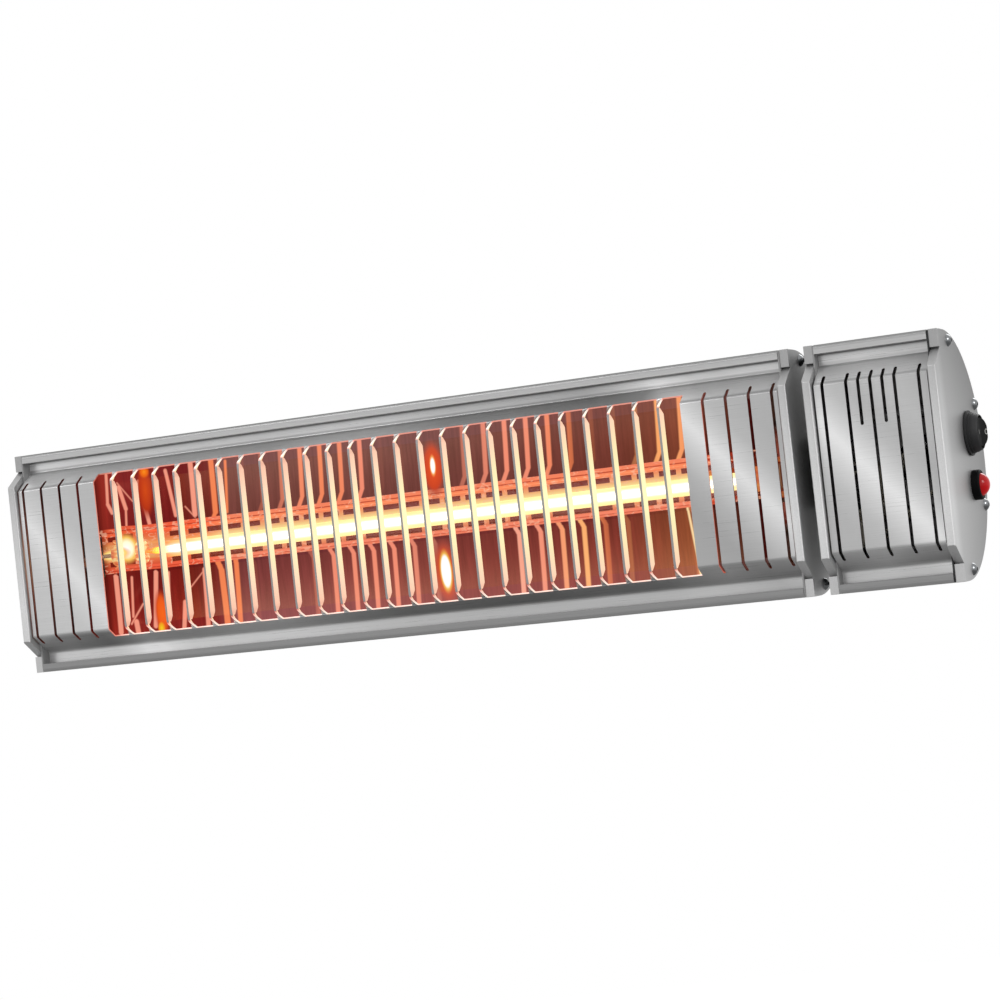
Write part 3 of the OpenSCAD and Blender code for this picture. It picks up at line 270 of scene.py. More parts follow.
# %% [markdown]
# ## The metals
# Three bare metals show: the satin anodised extrusion with fine die lines along it, the stainless
# cover, rolled and brushed, with a painted diagonal sheen, and the die-cast end plates. Each is a
# metal whose brightness, roughness and tiny bumps follow a noise stretched the way the surface was
# made, and whose base colour also carries painted light and shade.

# %% Bare metals


def grained(tree, shader, vector, stretch, tones, rough, bump, base=linear("#FF")):
    """A grain: noise on drawing places that are scaled by stretch (per millimetre), which runs the
    base colour through two tones, the roughness between two values, and a bump."""
    grain_place = product(tree, "VectorMath", vector, stretch)
    grain = add(tree, "TexNoise", grain_place, Scale=1.0, Detail=4.0, Roughness=0.6)
    tone = add(tree, "ValToRGB", grain, stops=dict(zip((0.3, 0.7), tones)))
    connect(tree, shader, Base_Color=product(tree, "MixRGB", base, tone),
            Roughness=add(tree, "MapRange", grain, 0.0, 1.0, *rough),
            Normal=add(tree, "Bump", Height=grain, Strength=bump, Distance=0.05 * MM))


def even_grain(name, size, tones, rough, bump, **sockets):
    """A plain finish with an even grain of size millimetres: metal, plastic, rubber or ceramic."""
    material, tree, shader, vector, _ = new_material(name, **sockets)
    grained(tree, shader, vector, (1 / size,) * 3, tones, rough, bump)
    return material


# The rails' painted shade over the height, and where the lamp's red light is painted on the wall:
# along X, in depth and in height.
RAIL_PAINTED_SHADE = {
    -80: "#D4", -75: "#C8", -73.5: "#AA", -69.5: "#AE", -68: "#F0", 66: "#F0", 69: "#DC", 73.2: "#D6",
    74.2: "#A6", 80: "#A6"
}
WALL_LIGHT_ALONG = {40: "#00", 62: "#FF", 520: "#FF", 556: "#00"}
WALL_LIGHT_DEEP = {58: "#00", 62: "#FF", 100: "#FF"}
WALL_LIGHT_HIGH = {-34: "#00", -20: "#FF", 20: "#FF", 34: "#00"}
PAINTED_WALL_LAMPLIGHT, FACES_FORWARD = "#702216", -0.3
DIE_LINES_PER_MM, BRUSH_LINES_PER_MM = (0.004, 1.4, 1.4), (0.02, 2.2, 2.2)


def anodised_aluminium():
    """Extruded aluminium, satin anodised: die lines 0.7 mm apart run along its length. The rails carry
    a painted shade over the height, which tones the lower rail down, where the floor's shade lies on
    it, and the lamp's dull red light is painted as emission on the wall behind the lamp, where it is
    deep inside and its normal looks forward."""
    material, tree, shader, vector, (x, y, z) = new_material(
        "satin_anodised_aluminium", Metallic=0.65, Specular_Tint=linear("#80"), Emission_Strength=1.0)
    tone = by_place(tree, z, RAIL_PAINTED_SHADE)
    grained(tree, shader, vector, DIE_LINES_PER_MM, ("#D2", "#DE"), (0.34, 0.46), 0.2, tone)
    skin = add(tree, "SeparateXYZ", add(tree, "TexCoord").outputs["Normal"])
    forward = add(tree, "Math", skin.outputs["Y"], FACES_FORWARD, operation="LESS_THAN")
    # Painted lamplight: the lamp's dull red light on the wall behind it, as emission.
    painted_wall_light = [by_place(tree, x, WALL_LIGHT_ALONG), by_place(tree, y, WALL_LIGHT_DEEP), by_place(tree, z, WALL_LIGHT_HIGH)]
    connect(tree, shader, Emission_Color=product(tree, "MixRGB", *painted_wall_light, forward, linear(PAINTED_WALL_LAMPLIGHT)))
    return material


SHEEN_SLANT, CONTROL_FROM, CONTROL_SHIFT, FOLD_GAIN = 1.15, 575.0, 100.0, 1.7
# The painted sheen over the slanted place, the folds' painted light and shade over the height, the
# slopes' painted shade along X, and the share of the latter over the height.
PAINTED_SHEEN_STOPS = {
    -60: "#C8", 8: "#CC", 26: "#D8", 41: "#E8", 57: "#D2", 76: "#C4", 110: "#BE", 500: "#B4",
    560: "#AA", 581: "#BA", 598: "#D2", 614: "#EA", 626: "#D4", 641: "#BE", 662: "#B6", 700: "#B8",
    752: "#BA", 770: "#C4", 785: "#D8", 801: "#EE", 815: "#D6", 828: "#C2", 842: "#B8", 866: "#C0",
    900: "#B4"
}
MAIN_FOLD_LIGHTING = {
    -66: "#F8", -63.6: "#F4", -62.4: "#E4", -61: "#DE", -53: "#DE", -50.5: "#CA", 49.8: "#CA",
    50.6: "#A6", 51.8: "#A6", 53: "#E6", 61.5: "#F0", 62.6: "#CC", 64.6: "#CC", 65.6: "#FF",
    69.2: "#FF", 69.7: "#9A", 71: "#8C"
}
CONTROL_FOLD_LIGHTING = {
    -66: "#F8", -63: "#F8", -61.5: "#F0", -53: "#F4", -50: "#CC", 49.8: "#CC", 50.6: "#B4",
    51.8: "#B4", 53: "#EA", 61.5: "#F4", 62.6: "#DC", 64.6: "#DC", 65.6: "#F4", 69.2: "#F4",
    69.7: "#92", 71: "#88"
}
UPPER_SLOPE_SHADE = {
    20: "#FF", 65: "#F1", 110: "#EA", 200: "#E5", 245: "#F7", 290: "#F3", 335: "#D4", 400: "#CB",
    440: "#C8", 470: "#B1", 500: "#F4", 520: "#FF"
}
LOWER_SLOPE_SHADE = {
    20: "#D0", 60: "#A4", 110: "#D3", 160: "#F1", 200: "#F4", 245: "#D3", 290: "#B8", 380: "#AA",
    425: "#B8", 470: "#C2", 515: "#FF", 560: "#E0", 590: "#E0", 615: "#EC", 640: "#BC", 660: "#A0"
}
ON_SLOPE = {
    -69: "#95", -63: "#95", -61.5: "#FF", -53: "#FF", -50.5: "#00", 50.5: "#00", 53: "#FF",
    61.5: "#FF", 63: "#BC", 69.2: "#BC", 70: "#00"
}


def brushed_stainless():
    """Stainless sheet, rolled and then brushed along its length. Its soft diagonal sheen is a painted
    highlight, a ramp over 1.15 x + z, with the control cover's stretch of the ramp moved on by 100.
    The folds mirror other parts of the studio, so their light and shade is painted too: a ramp over
    the height gives each its own gain, and the slopes have one more along X, a painted shade."""
    material, tree, shader, vector, (x, _, z) = new_material("brushed_stainless_sheet", Metallic=0.6)
    is_control = add(tree, "Math", x, CONTROL_FROM, operation="GREATER_THAN")
    is_upper = add(tree, "Math", z, 0.0, operation="GREATER_THAN")
    slanted = add(tree, "VectorMath", vector, (SHEEN_SLANT, 0.0, 1.0), operation="DOT_PRODUCT")
    along = add(tree, "Math", is_control, CONTROL_SHIFT, slanted, operation="MULTIPLY_ADD")
    folds = by_side(tree, is_control, z, MAIN_FOLD_LIGHTING, CONTROL_FOLD_LIGHTING)
    slope = by_side(tree, is_upper, x, LOWER_SLOPE_SHADE, UPPER_SLOPE_SHADE)
    slope = add(tree, "MixRGB", by_place(tree, z, ON_SLOPE), linear("#FF"), slope)
    sheen = by_place(tree, along, PAINTED_SHEEN_STOPS)
    bright = product(tree, "VectorMath", sheen, slope, folds, (FOLD_GAIN,) * 3)
    tone = add(tree, "VectorMath", bright, (1.0, 1.0, 1.0), operation="MINIMUM")
    grained(tree, shader, vector, BRUSH_LINES_PER_MM, ("#F2", "#FF"), (0.24, 0.34), 0.12, tone)
    return material


# Painted shade on the end plates: over the height and in depth.
PLATE_SHADE_HIGH = {-70: "#F4", -30: "#FF", 25: "#EB", 66: "#CC"}
PLATE_SHADE_DEEP = {3: "#FF", 14: "#E4", 45: "#CE", 90: "#B0"}


def die_cast_aluminium():
    """Die-cast end plates in a silver coat: a fine even grain of about 0.8 mm with soft roughness.
    Painted shade: their front edges, which face the light, are lightest, and a flank is darker the
    higher and the deeper it lies."""
    material, tree, shader, vector, (_, y, z) = new_material("silver_coated_casting", Metallic=0.9)
    tone = product(tree, "MixRGB", by_place(tree, z, PLATE_SHADE_HIGH), by_place(tree, y, PLATE_SHADE_DEEP))
    grained(tree, shader, vector, (1.3,) * 3, ("#D8", "#E6"), (0.40, 0.52), 0.2, tone)
    return material


def zinc_steel():
    """Brackets of bent steel, zinc plated: a spangle of about 6 mm under a dull grey sheen."""
    material, tree, shader, vector, _ = new_material("zinc_plated_steel", Metallic=0.85)
    cell = add(tree, "TexVoronoi", vector, Scale=0.16)
    spangle = add(tree, "ValToRGB", cell, stops={0.0: "#FF", 0.9: "#DADDDE"})
    grained(tree, shader, vector, (0.6,) * 3, ("#9EA3A6", "#B6BBBE"), (0.36, 0.5), 0.15, spangle)
    return material


# %% [markdown]
# ## The painted lamplight
# The lamp's light falls as one over the distance from its axis. The pieces that face it carry that
# light as a number worked out at each corner, and their material paints it on as emission through
# a ramp: deep red where little arrives, salmon, cream and last nearly white.

# %% Lit metal


def lit_metal(name, along, light):
    """Metal near the lamp: a base tone along X, which on the sheared edges holds a painted shade,
    plus the light in the attribute lamp_light, painted on as emission."""
    material, tree, shader, vector, (x, _, _) = new_material(name, Metallic=1.0, Emission_Strength=1.0)
    tone = by_place(tree, x, along)
    grained(tree, shader, vector, BRUSH_LINES_PER_MM, ("#EA", "#FF"), (0.35, 0.5), 0.1, tone)
    arrived = add(tree, "Attribute", attribute_name="lamp_light").outputs["Fac"]
    connect(tree, shader, Emission_Color=add(tree, "ValToRGB", arrived, stops=light))
    return material


# The inside of the grille, where the lamp's light on the turned bars is painted cream and yellow.
INNER_STEEL = lit_metal("lamp_lit_stainless", {0: "#9A948E", 560: "#9A948E"}, {
    0.0: "#00", 0.15: "#5A1C14", 0.34: "#B8705C", 0.5: "#E8B49C", 0.64: "#FAD2B4", 0.8: "#FDE8B4",
    1.0: "#FFF6BC"
})
# The sheared edges of the windows catch the light as thin pale lines. The slots' edges get a
# painted shade: a darker base tone outside the band of windows.
CUT_EDGE = lit_metal("lamp_lit_sheared_edge", {62: "#5A504E", 68: "#A8", 496: "#A8", 502: "#5A504E"}, {
    0.0: "#00", 0.12: "#4A1812", 0.35: "#C8604C", 0.6: "#F0A090", 0.85: "#FFDCCB", 1.0: "#FFF2E2"
})

# %% [markdown]
# ## The polished reflector
# Behind the lamp lies a trough of bright rolled aluminium. It mirrors the lamp's red glow, the lit
# bars and the lamp itself. A true mirror image would need many samples, so these reflections are
# painted as emission on drawing places: ramps along X and over the height give the flanks' painted
# lamplight and the coral lines along the channel, repeated thin stripes are the bars' painted
# images, and a few spots are the lamp's painted reflections.

# %% Reflector finish and painted reflections
EYE_X, EYE_FAR = 1016.0, 1500.0
COOL_PITCH, COOL_L, COOL_H = 15.4, 12.0, 3.5
COOL_LOW, COOL_HIGH, COOL_DRAWN_UP = -6.7, 11.2, 0.6
# The end wall's slots are painted as dark patches of shade.
WALL_FROM, WALL_PITCH, WALL_OPEN, WALL_END, WALL_SLOT_SHADE = 76.0, 12.0, 7.44, 104.0, "#7A2014"
CHANNEL_FROM, CHANNEL_TO = -12.4, 19.0
# A pale light painted along the reflector's rims.
RIM_FROM, RIM_TO, RIM_PAINTED_LIGHT = 49.3, 49.7, "#383230"
GREY_FROM, GREY_TO = 150.0, 172.0
# Pale curls of painted light in the channel.
CURL_FROM, CURL_TO, CURL_SHARE, CURL_LIGHT = 0.54, 0.62, 0.55, "#F8B898"
STREAKS_PER_MM, CURLS_PER_MM, SPOT_EDGE = (0.35, 0.02, 0.0), (0.16, 0.3, 0.0), 0.35
# The flanks' painted lamplight along X, the channel's painted reflections over the height and
# along X, and the painted light on all flanks over the height.
UPPER_FLANK_LAMPLIGHT = {
    30: "#3A0E0C", 68: "#561412", 74: "#A03026", 92: "#8C2626", 140: "#7A1E20", 164: "#7E2420",
    168: "#7D4440", 300: "#7C4642", 400: "#783C38", 450: "#783830", 500: "#8A4430", 506: "#5C1814",
    560: "#2A0A08"
}
LOWER_FLANK_LAMPLIGHT = {
    30: "#3A0E0C", 68: "#561412", 74: "#A23026", 100: "#922824", 156: "#8C2422", 168: "#94464A",
    300: "#9C4A46", 400: "#943E3A", 450: "#983E36", 480: "#A25438", 500: "#B0623A", 506: "#5C1814",
    560: "#2A0A08"
}
CHANNEL_REFLECTIONS = {
    -12.4: "#EC7A5C", -11.2: "#F08060", -11.0: "#C04C36", -10.8: "#C04C36", -10.6: "#F48668",
    -9.2: "#F88868", -8.6: "#E07858", -5.0: "#F0A070", -4.0: "#F8D890", 0: "#FFF0C0", 6.5: "#F8D890",
    9.0: "#F0B078", 12.8: "#F08C60", 14.0: "#F8885C", 15.6: "#F8885C", 15.9: "#C04C34",
    16.4: "#C04C34", 16.7: "#F4845E", 19.0: "#F08060"
}
CHANNEL_ENDS = {
    30: "#501410", 70: "#701C14", 76: "#E8B0A0", 150: "#FFC0B0", 170: "#FF", 500: "#FF",
    512: "#E0A080", 530: "#8A3020", 545: "#3A1008"
}
FLANK_LIGHT_BY_HEIGHT = {
    -60: "#FF", -50: "#FFF4F0", -20: "#D8CCCC", -12: "#CCC0C0", 12: "#E8E4E4", 40: "#FF", 50.4: "#FF",
    60: "#FF"
}
IMAGE_PITCH, IMAGE_LEAN, IMAGE_KINK = 14.85, 0.04, 0.45
UPPER_FIRST, LOWER_FIRST, UPPER_SHOULDER, LOWER_SHOULDER = 212.8, 233.2, 25.0, -17.5
STRIPE_HALF, SOFT_EDGE = 1.6, 0.5
# The colour and the strength of the bars' painted mirror images along X. Past the even ones, single
# painted strokes follow as two ends and half a width, and then the lamp's painted reflections as
# spots: a middle, half sizes and tones from the rim in.
UPPER_HUES = {
    192: "#C86850", 205: "#E08068", 222: "#F08A68", 250: "#F08458", 275: "#F08C72", 300: "#D87860",
    350: "#F08C72", 395: "#F08C70", 420: "#F08050", 445: "#D87850", 480: "#FAA868", 505: "#F09060"
}
UPPER_SHARES = {
    184: "#00", 188: "#A0", 208: "#C0", 226: "#FF", 280: "#FF", 284: "#30", 300: "#60", 308: "#00",
    340: "#00", 344: "#B0", 372: "#FF", 412: "#FF", 430: "#A0", 445: "#30", 470: "#C0", 480: "#FF",
    503: "#FF", 507: "#00"
}
LOWER_HUES = {
    180: "#C86850", 240: "#EE8A70", 300: "#F08C72", 375: "#F6A890", 400: "#F08C70", 425: "#FAB070",
    440: "#F08050", 460: "#FAA868", 505: "#F09060"
}
LOWER_SHARES = {
    180: "#00", 184: "#60", 192: "#60", 196: "#00", 224: "#00", 228: "#80", 242: "#FF", 300: "#FF",
    322: "#A0", 328: "#00", 374: "#00", 378: "#FF", 430: "#FF", 445: "#90", 458: "#80", 462: "#00",
    490: "#00", 494: "#B0", 503: "#B0", 507: "#00"
}
BENT_IMAGES = [
    (79, 56, 78, 36, 1.1), (78, 36, 81, 30, 1.3), (88, 46, 92, 31, 1.5), (92, 31, 91, 18, 0.8),
    (87, 49, 98, 36, 0.4), (104, 48, 110, 19, 1.4), (126, 53, 131, 23, 1.3), (139, 28, 146, 20, 0.4),
    (146, 56, 146, 22, 1.9), (79, -15, 78, -54, 1.9), (91, -17, 89, -44, 0.9), (91, -48, 92, -57, 1.9),
    (98, -36, 87, -49, 0.6), (111, -15, 106, -52, 1.7), (121, -16, 118, -46, 0.8), (131, -38, 128, -56, 1.6),
    (137, -28, 149, -17, 0.4), (149, -17, 147, -56, 1.7)
]
WARM_IMAGES = [
    (162, 56, 162, 22, 2.0), (162, 22, 158, 14, 1.5), (173, 54, 171, 21, 1.0), (159, -8, 162, -19, 2.0),
    (162, -19, 162, -58, 2.2), (174, -13, 172, -55, 1.8)
]
GAP_IMAGES = [(495.2, -9, 499.2, -59, 0.7)]
STROKES = [(BENT_IMAGES, "#F29880"), (WARM_IMAGES, "#F08050"), (GAP_IMAGES, "#FFDCA4")]
SPOTS = [
    ((108.8, 42.0), (7.0, 20.0), {0.0: "#902418", 0.5: "#BC3A18", 1.0: "#D04A18"}),
    ((109.3, 54.1), (4.5, 5.0), {0.0: "#C84416", 0.6: "#F07010", 1.0: "#F89020"}),
    ((111.9, -44.0), (6.0, 18.0), {0.0: "#A83020", 0.5: "#EC5C1C", 1.0: "#F4661C"}),
    ((110.4, -53.9), (3.2, 5.0), {0.0: "#F06A18", 0.6: "#F0B020", 1.0: "#F4D020"}),
    ((325.5, 32.0), (9.0, 20.0), {0.0: "#7C4642", 0.4: "#C84020", 1.0: "#E85020"}),
    ((325.5, 34.0), (2.6, 8.0), {0.0: "#E85020", 0.3: "#F8B060", 0.5: "#FF", 1.0: "#FF"}),
    ((326.9, -37.0), (10.0, 24.0), {0.0: "#A04A46", 0.5: "#C84A28", 1.0: "#E06028"}),
    ((326.9, -36.2), (5.0, 16.0), {0.0: "#E86028", 0.26: "#F8D060", 0.4: "#FF", 1.0: "#FF"}),
    ((89.6, 3.2), (11.0, 12.0), {0.0: "#E06040", 0.35: "#F8C860", 0.6: "#FFFFD8", 1.0: "#FF"}),
    ((80.0, 0.5), (13.0, 5.0), {0.0: "#E87048", 0.4: "#FBD87C", 1.0: "#FFFFE0"})
]


def spot(tree, flat, centre, size):
    """1 in the middle of an ellipse and 0 past its rim: one less the scaled distance."""
    moved = add(tree, "VectorMath", flat, (*centre, 0.0), operation="SUBTRACT")
    scaled = add(tree, "VectorMath", moved, (*size, 1.0), operation="DIVIDE")
    far = add(tree, "VectorMath", scaled, operation="LENGTH")
    return add(tree, "Math", 1.0, far, operation="SUBTRACT", use_clamp=True)


def stroke(tree, flat, line):
    """1 within half a width of a line from one place to another. The nearest place on the line is at
    t = (p - start) . (end - start) / length squared, kept between 0 and 1."""
    start, run, half = np.array(line[:2]), np.subtract(line[2:4], line[:2]), line[4]
    moved = add(tree, "VectorMath", flat, (*start, 0.0), operation="SUBTRACT")
    share = add(tree, "VectorMath", moved, (*(run / (run @ run)), 0.0), operation="DOT_PRODUCT")
    t = add(tree, "Math", share, 0.0, operation="ADD", use_clamp=True)
    reached = add(tree, "VectorMath", (*run, 0.0), Scale=t, operation="SCALE")
    far = add(tree, "VectorMath", moved, reached, operation="DISTANCE")
    return add(tree, "MapRange", far, half + SOFT_EDGE, half - SOFT_EDGE)


def images(tree, along, high, first, shoulder, way, shares):
    """The lit bars' mirror images: 1 on lines a pitch apart, where the distance to the nearest line,
    a zigzag with the place, is near zero. The lines lean a little with the height and kink near the
    channel. A ramp gives their strength."""
    lean = add(tree, "Math", high, -IMAGE_LEAN, along, operation="MULTIPLY_ADD")
    past = add(tree, "Math", high, -way, way * shoulder, operation="MULTIPLY_ADD")
    kink = add(tree, "Math", past, 0.0, operation="MAXIMUM")
    place_on = add(tree, "Math", kink, IMAGE_KINK, lean, operation="MULTIPLY_ADD")
    from_first = add(tree, "Math", place_on, first, operation="SUBTRACT")
    far = add(tree, "Math", from_first, IMAGE_PITCH / 2, operation="PINGPONG")
    line = add(tree, "MapRange", far, STRIPE_HALF + SOFT_EDGE, STRIPE_HALF - SOFT_EDGE)
    return product(tree, "Math", line, by_place(tree, along, shares))


def drawn_flanks(tree, flat, along, high):
    """The flanks' painted lamplight under fine streaks, with the bars' painted images and the single
    painted strokes over them.
    """
    is_upper = add(tree, "Math", high, 0.0, operation="GREATER_THAN")
    tone = by_side(tree, is_upper, along, LOWER_FLANK_LAMPLIGHT, UPPER_FLANK_LAMPLIGHT)
    streak_place = product(tree, "VectorMath", flat, STREAKS_PER_MM)
    streak = add(tree, "TexNoise", streak_place, Scale=1.0, Detail=4.0, Roughness=0.7)
    shade = add(tree, "ValToRGB", streak, stops={0.3: "#D0CCCC", 0.7: "#FF"})
    colour = product(tree, "MixRGB", tone, by_place(tree, high, FLANK_LIGHT_BY_HEIGHT), shade)
    upper = images(tree, along, high, UPPER_FIRST, UPPER_SHOULDER, 1, UPPER_SHARES)
    lower = images(tree, along, high, LOWER_FIRST, LOWER_SHOULDER, -1, LOWER_SHARES)
    seen = add(tree, "MixRGB", is_upper, lower, upper)
    colour = add(tree, "MixRGB", seen, colour, by_side(tree, is_upper, along, LOWER_HUES, UPPER_HUES))
    for lines, tone in STROKES:
        mask = 0.0
        for line in lines:
            mask = add(tree, "Math", mask, stroke(tree, flat, line), operation="MAXIMUM")
        colour = add(tree, "MixRGB", mask, colour, linear(tone))
    return colour


def drawn_channel(tree, flat, along, high, colour):
    """The channel's painted reflections, bright lines over the flanks' colour, with painted pale curls
    of light, and painted shade in dark patches for the wall's slots at the lamp's left end."""
    middle, half = (CHANNEL_FROM + CHANNEL_TO) / 2, (CHANNEL_TO - CHANNEL_FROM) / 2
    in_channel = add(tree, "Math", high, middle, half, operation="COMPARE")
    ends = by_place(tree, along, CHANNEL_ENDS)
    channel = product(tree, "MixRGB", by_place(tree, high, CHANNEL_REFLECTIONS), ends)
    curl_place = product(tree, "VectorMath", flat, CURLS_PER_MM)
    curl = add(tree, "TexNoise", curl_place, Scale=1.0, Detail=2.0, Distortion=1.5)
    curled = add(tree, "MapRange", curl, CURL_FROM, CURL_TO, 0.0, CURL_SHARE)
    channel = add(tree, "MixRGB", curled, channel, linear(CURL_LIGHT))
    colour = add(tree, "MixRGB", in_channel, colour, channel)
    on_wall = add(tree, "Math", along, WALL_END, operation="LESS_THAN")
    wrapped = add(tree, "Math", along, WALL_FROM + WALL_PITCH, WALL_FROM, operation="WRAP")
    is_open = add(tree, "Math", wrapped, WALL_FROM + WALL_OPEN, operation="LESS_THAN")
    for row in (COOL_LOW, COOL_HIGH):
        inside = add(tree, "Math", high, row + COOL_DRAWN_UP, COOL_H / 2, operation="COMPARE")
        patch = product(tree, "Math", inside, is_open, on_wall)
        colour = add(tree, "MixRGB", patch, colour, linear(WALL_SLOT_SHADE))
    return colour


def polished_reflector():
    """Bright rolled aluminium: a dark mirror under painted reflections and lamplight, and a painted
    pale light added along its rims. A mirror image leans back with the depth, so it is painted on
    s = x + y (eye - x) / far and on the height z."""
    material, tree, shader, _, (x, y, high) = new_material(
        "bright_rolled_aluminium", Metallic=1.0, Roughness=0.2, Base_Color=linear("#1E1210"))
    to_eye = add(tree, "Math", EYE_X, x, operation="SUBTRACT")
    lean = add(tree, "Math", to_eye, 1 / EYE_FAR, operation="MULTIPLY")
    along = add(tree, "Math", lean, y, x, operation="MULTIPLY_ADD")
    flat = add(tree, "CombineXYZ", along, high)
    colour = drawn_channel(tree, flat, along, high, drawn_flanks(tree, flat, along, high))
    for centre, size, tones in SPOTS:
        inside = spot(tree, flat, centre, size)
        share = add(tree, "MapRange", inside, 0.0, SPOT_EDGE)
        colour = add(tree, "MixRGB", share, colour, add(tree, "ValToRGB", inside, stops=tones))
    tall = add(tree, "Math", high, operation="ABSOLUTE")
    rim = product(tree, "Math", add(tree, "MapRange", tall, RIM_FROM, RIM_TO),
                  add(tree, "MapRange", along, GREY_FROM, GREY_TO))
    colour = add(tree, "MixRGB", rim, colour, linear(RIM_PAINTED_LIGHT), blend_type="ADD")
    connect(tree, shader, Emission_Color=colour, Emission_Strength=1.0)
    return material


# %% [markdown]
# ## Lamp, plastics and ceramics
# The filament is a white-hot tungsten coil inside a clear quartz tube, on whose wall its light is
# painted as a cream glow.
# The caps are steatite, the switch and the neck are black moulded plastic, the gaskets rubber, and
# the pilot light is a red dome with a lamp inside.

# %% Lamp and mouldings


def white_hot_tungsten():
    """Tungsten at about 2400 K. It is brighter than paper white, so it lights what is round it."""
    material, tree, shader, _, (x, _, _) = new_material(
        "white_hot_tungsten", Metallic=1.0, Roughness=0.4, Base_Color=linear("#C8B090"),
        Emission_Strength=5.0)
    tone = by_place(tree, x, {84: "#D03C10", 88: "#FF7A1E", 95: "#FFC060", 104: "#FFF0CC"})
    connect(tree, shader, Emission_Color=tone)
    return material


# The filament's light painted on the tube: its colour along X and a white glare in the middle.
QUARTZ_LAMPLIGHT = {
    70: "#00", 84: "#401008", 90: "#D86838", 102: "#F0B068", 125: "#FCDC94", 500: "#FFE8A0",
    516: "#FFE8A0", 530: "#803820"
}
QUARTZ_GLARE = {0: "#FF", 2.2: "#E0", 3.6: "#60", 5.5: "#00"}
QUARTZ_LIT = {94: "#00", 106: "#FF", 510: "#FF", 520: "#00"}
QUARTZ_DENSE = {70: "#30", 86: "#40", 100: "#E0", 530: "#E0"}
WAVES_PER_MM = (0.03, 0.5, 0.5)


def clear_quartz():
    """Fused quartz: clear, with a smooth gloss. The filament's cream light in it is painted as
    emission, a little uneven along the tube, with a painted white glare in its middle."""
    material, tree, shader, vector, (x, _, z) = new_material(
        "clear_fused_quartz", Roughness=0.05, IOR=1.46, Base_Color=linear("#00"), Emission_Strength=1.35)
    wave_place = product(tree, "VectorMath", vector, WAVES_PER_MM)
    wave = add(tree, "TexNoise", wave_place, Scale=1.0, Detail=2.0)
    uneven = add(tree, "ValToRGB", wave, stops={0.35: "#F8ECD8", 0.65: "#FF"})
    colour = product(tree, "MixRGB", by_place(tree, x, QUARTZ_LAMPLIGHT), uneven)
    core = by_place(tree, add(tree, "Math", z, operation="ABSOLUTE"), QUARTZ_GLARE)
    share = product(tree, "Math", core, by_place(tree, x, QUARTZ_LIT))
    glare = add(tree, "MixRGB", share, colour, linear("#FF"))
    connect(tree, shader, Emission_Color=glare, Alpha=by_place(tree, x, QUARTZ_DENSE))
    return material


ON_MARK, OFF_MARK, MARK_R, MARK_HALF, MARK_SOFT = (0.0, 55.8, 13.0), (0.0, 66.4, 13.0), 1.5, 0.36, 0.12
MARKS = [(ON_MARK, (0.0, 1.0, 0.2), 0.0), (OFF_MARK, (0.0, 1.0, 1.0), MARK_R)]


def marked_polyamide():
    """The rocker's polyamide with two pale moulded-in marks: a line for on and a ring for off. Each
    is the place where the distance from its middle comes close to a radius, which is zero for the
    line, whose height counts only a fifth."""
    material, tree, shader, vector, _ = new_material("marked_black_polyamide", Specular_IOR_Level=0.08)
    mark = 0.0
    for middle, scale, radius in MARKS:
        moved = add(tree, "VectorMath", vector, middle, operation="SUBTRACT")
        far = add(tree, "VectorMath", product(tree, "VectorMath", moved, scale), operation="LENGTH")
        off = add(tree, "Math", far, radius, operation="SUBTRACT")
        miss = add(tree, "Math", off, operation="ABSOLUTE")
        shade = add(tree, "MapRange", miss, MARK_HALF, MARK_HALF - MARK_SOFT)
        mark = add(tree, "Math", mark, shade, operation="MAXIMUM")
    base = add(tree, "MixRGB", mark, linear("#0B0B0C"), linear("#B8B8B4"))
    grained(tree, shader, vector, (2.0,) * 3, ("#C8", "#FF"), (0.5, 0.62), 0.3, base)
    return material


FITTINGS_FADE = {40: "#5A1C14", 58: "#F0E0D0", 90: "#FF", 500: "#FF", 520: "#F0A070", 545: "#4A1810"}
PATCHES_PER_MM = (0.22, 0.22, 0.35)


def lit_fittings():
    """The caps, clips and stands at the lamp's ends, pale ceramic and spring steel, so close to the
    filament that its glare on them is painted as emission: mottled orange and cream, fading outwards."""
    material, tree, shader, vector, (x, _, _) = new_material(
        "lamp_lit_fittings", Roughness=0.5, Base_Color=linear("#8A7A6A"), Emission_Strength=0.9)
    patch_place = product(tree, "VectorMath", vector, PATCHES_PER_MM)
    patch = add(tree, "TexNoise", patch_place, Scale=1.0, Detail=3.0)
    tone = add(tree, "ValToRGB", patch, stops={0.35: "#E0603C", 0.5: "#F6A868", 0.62: "#FFF0B0"})
    connect(tree, shader, Emission_Color=product(tree, "MixRGB", tone, by_place(tree, x, FITTINGS_FADE)))
    return material


DOME_RIM, DOME_CORE = 9.0, 3.0


def lit_red_dome():
    """Red translucent acrylic over a small lamp: glossy, and brightest in its middle."""
    material, tree, shader, vector, _ = new_material(
        "red_acrylic_dome", Roughness=0.12, IOR=1.49, Base_Color=linear("#5C0104"), Specular_IOR_Level=0.3)
    middle = sum(drawn("pilot_lens")) / 2
    far = add(tree, "VectorMath", vector, tuple(middle), operation="DISTANCE")
    near = add(tree, "MapRange", far, DOME_RIM, DOME_CORE)
    tone = add(tree, "ValToRGB", near, stops={0.0: "#5C0103", 1.0: "#EC0610"})
    connect(tree, shader, Emission_Color=tone, Emission_Strength=0.55)
    return material


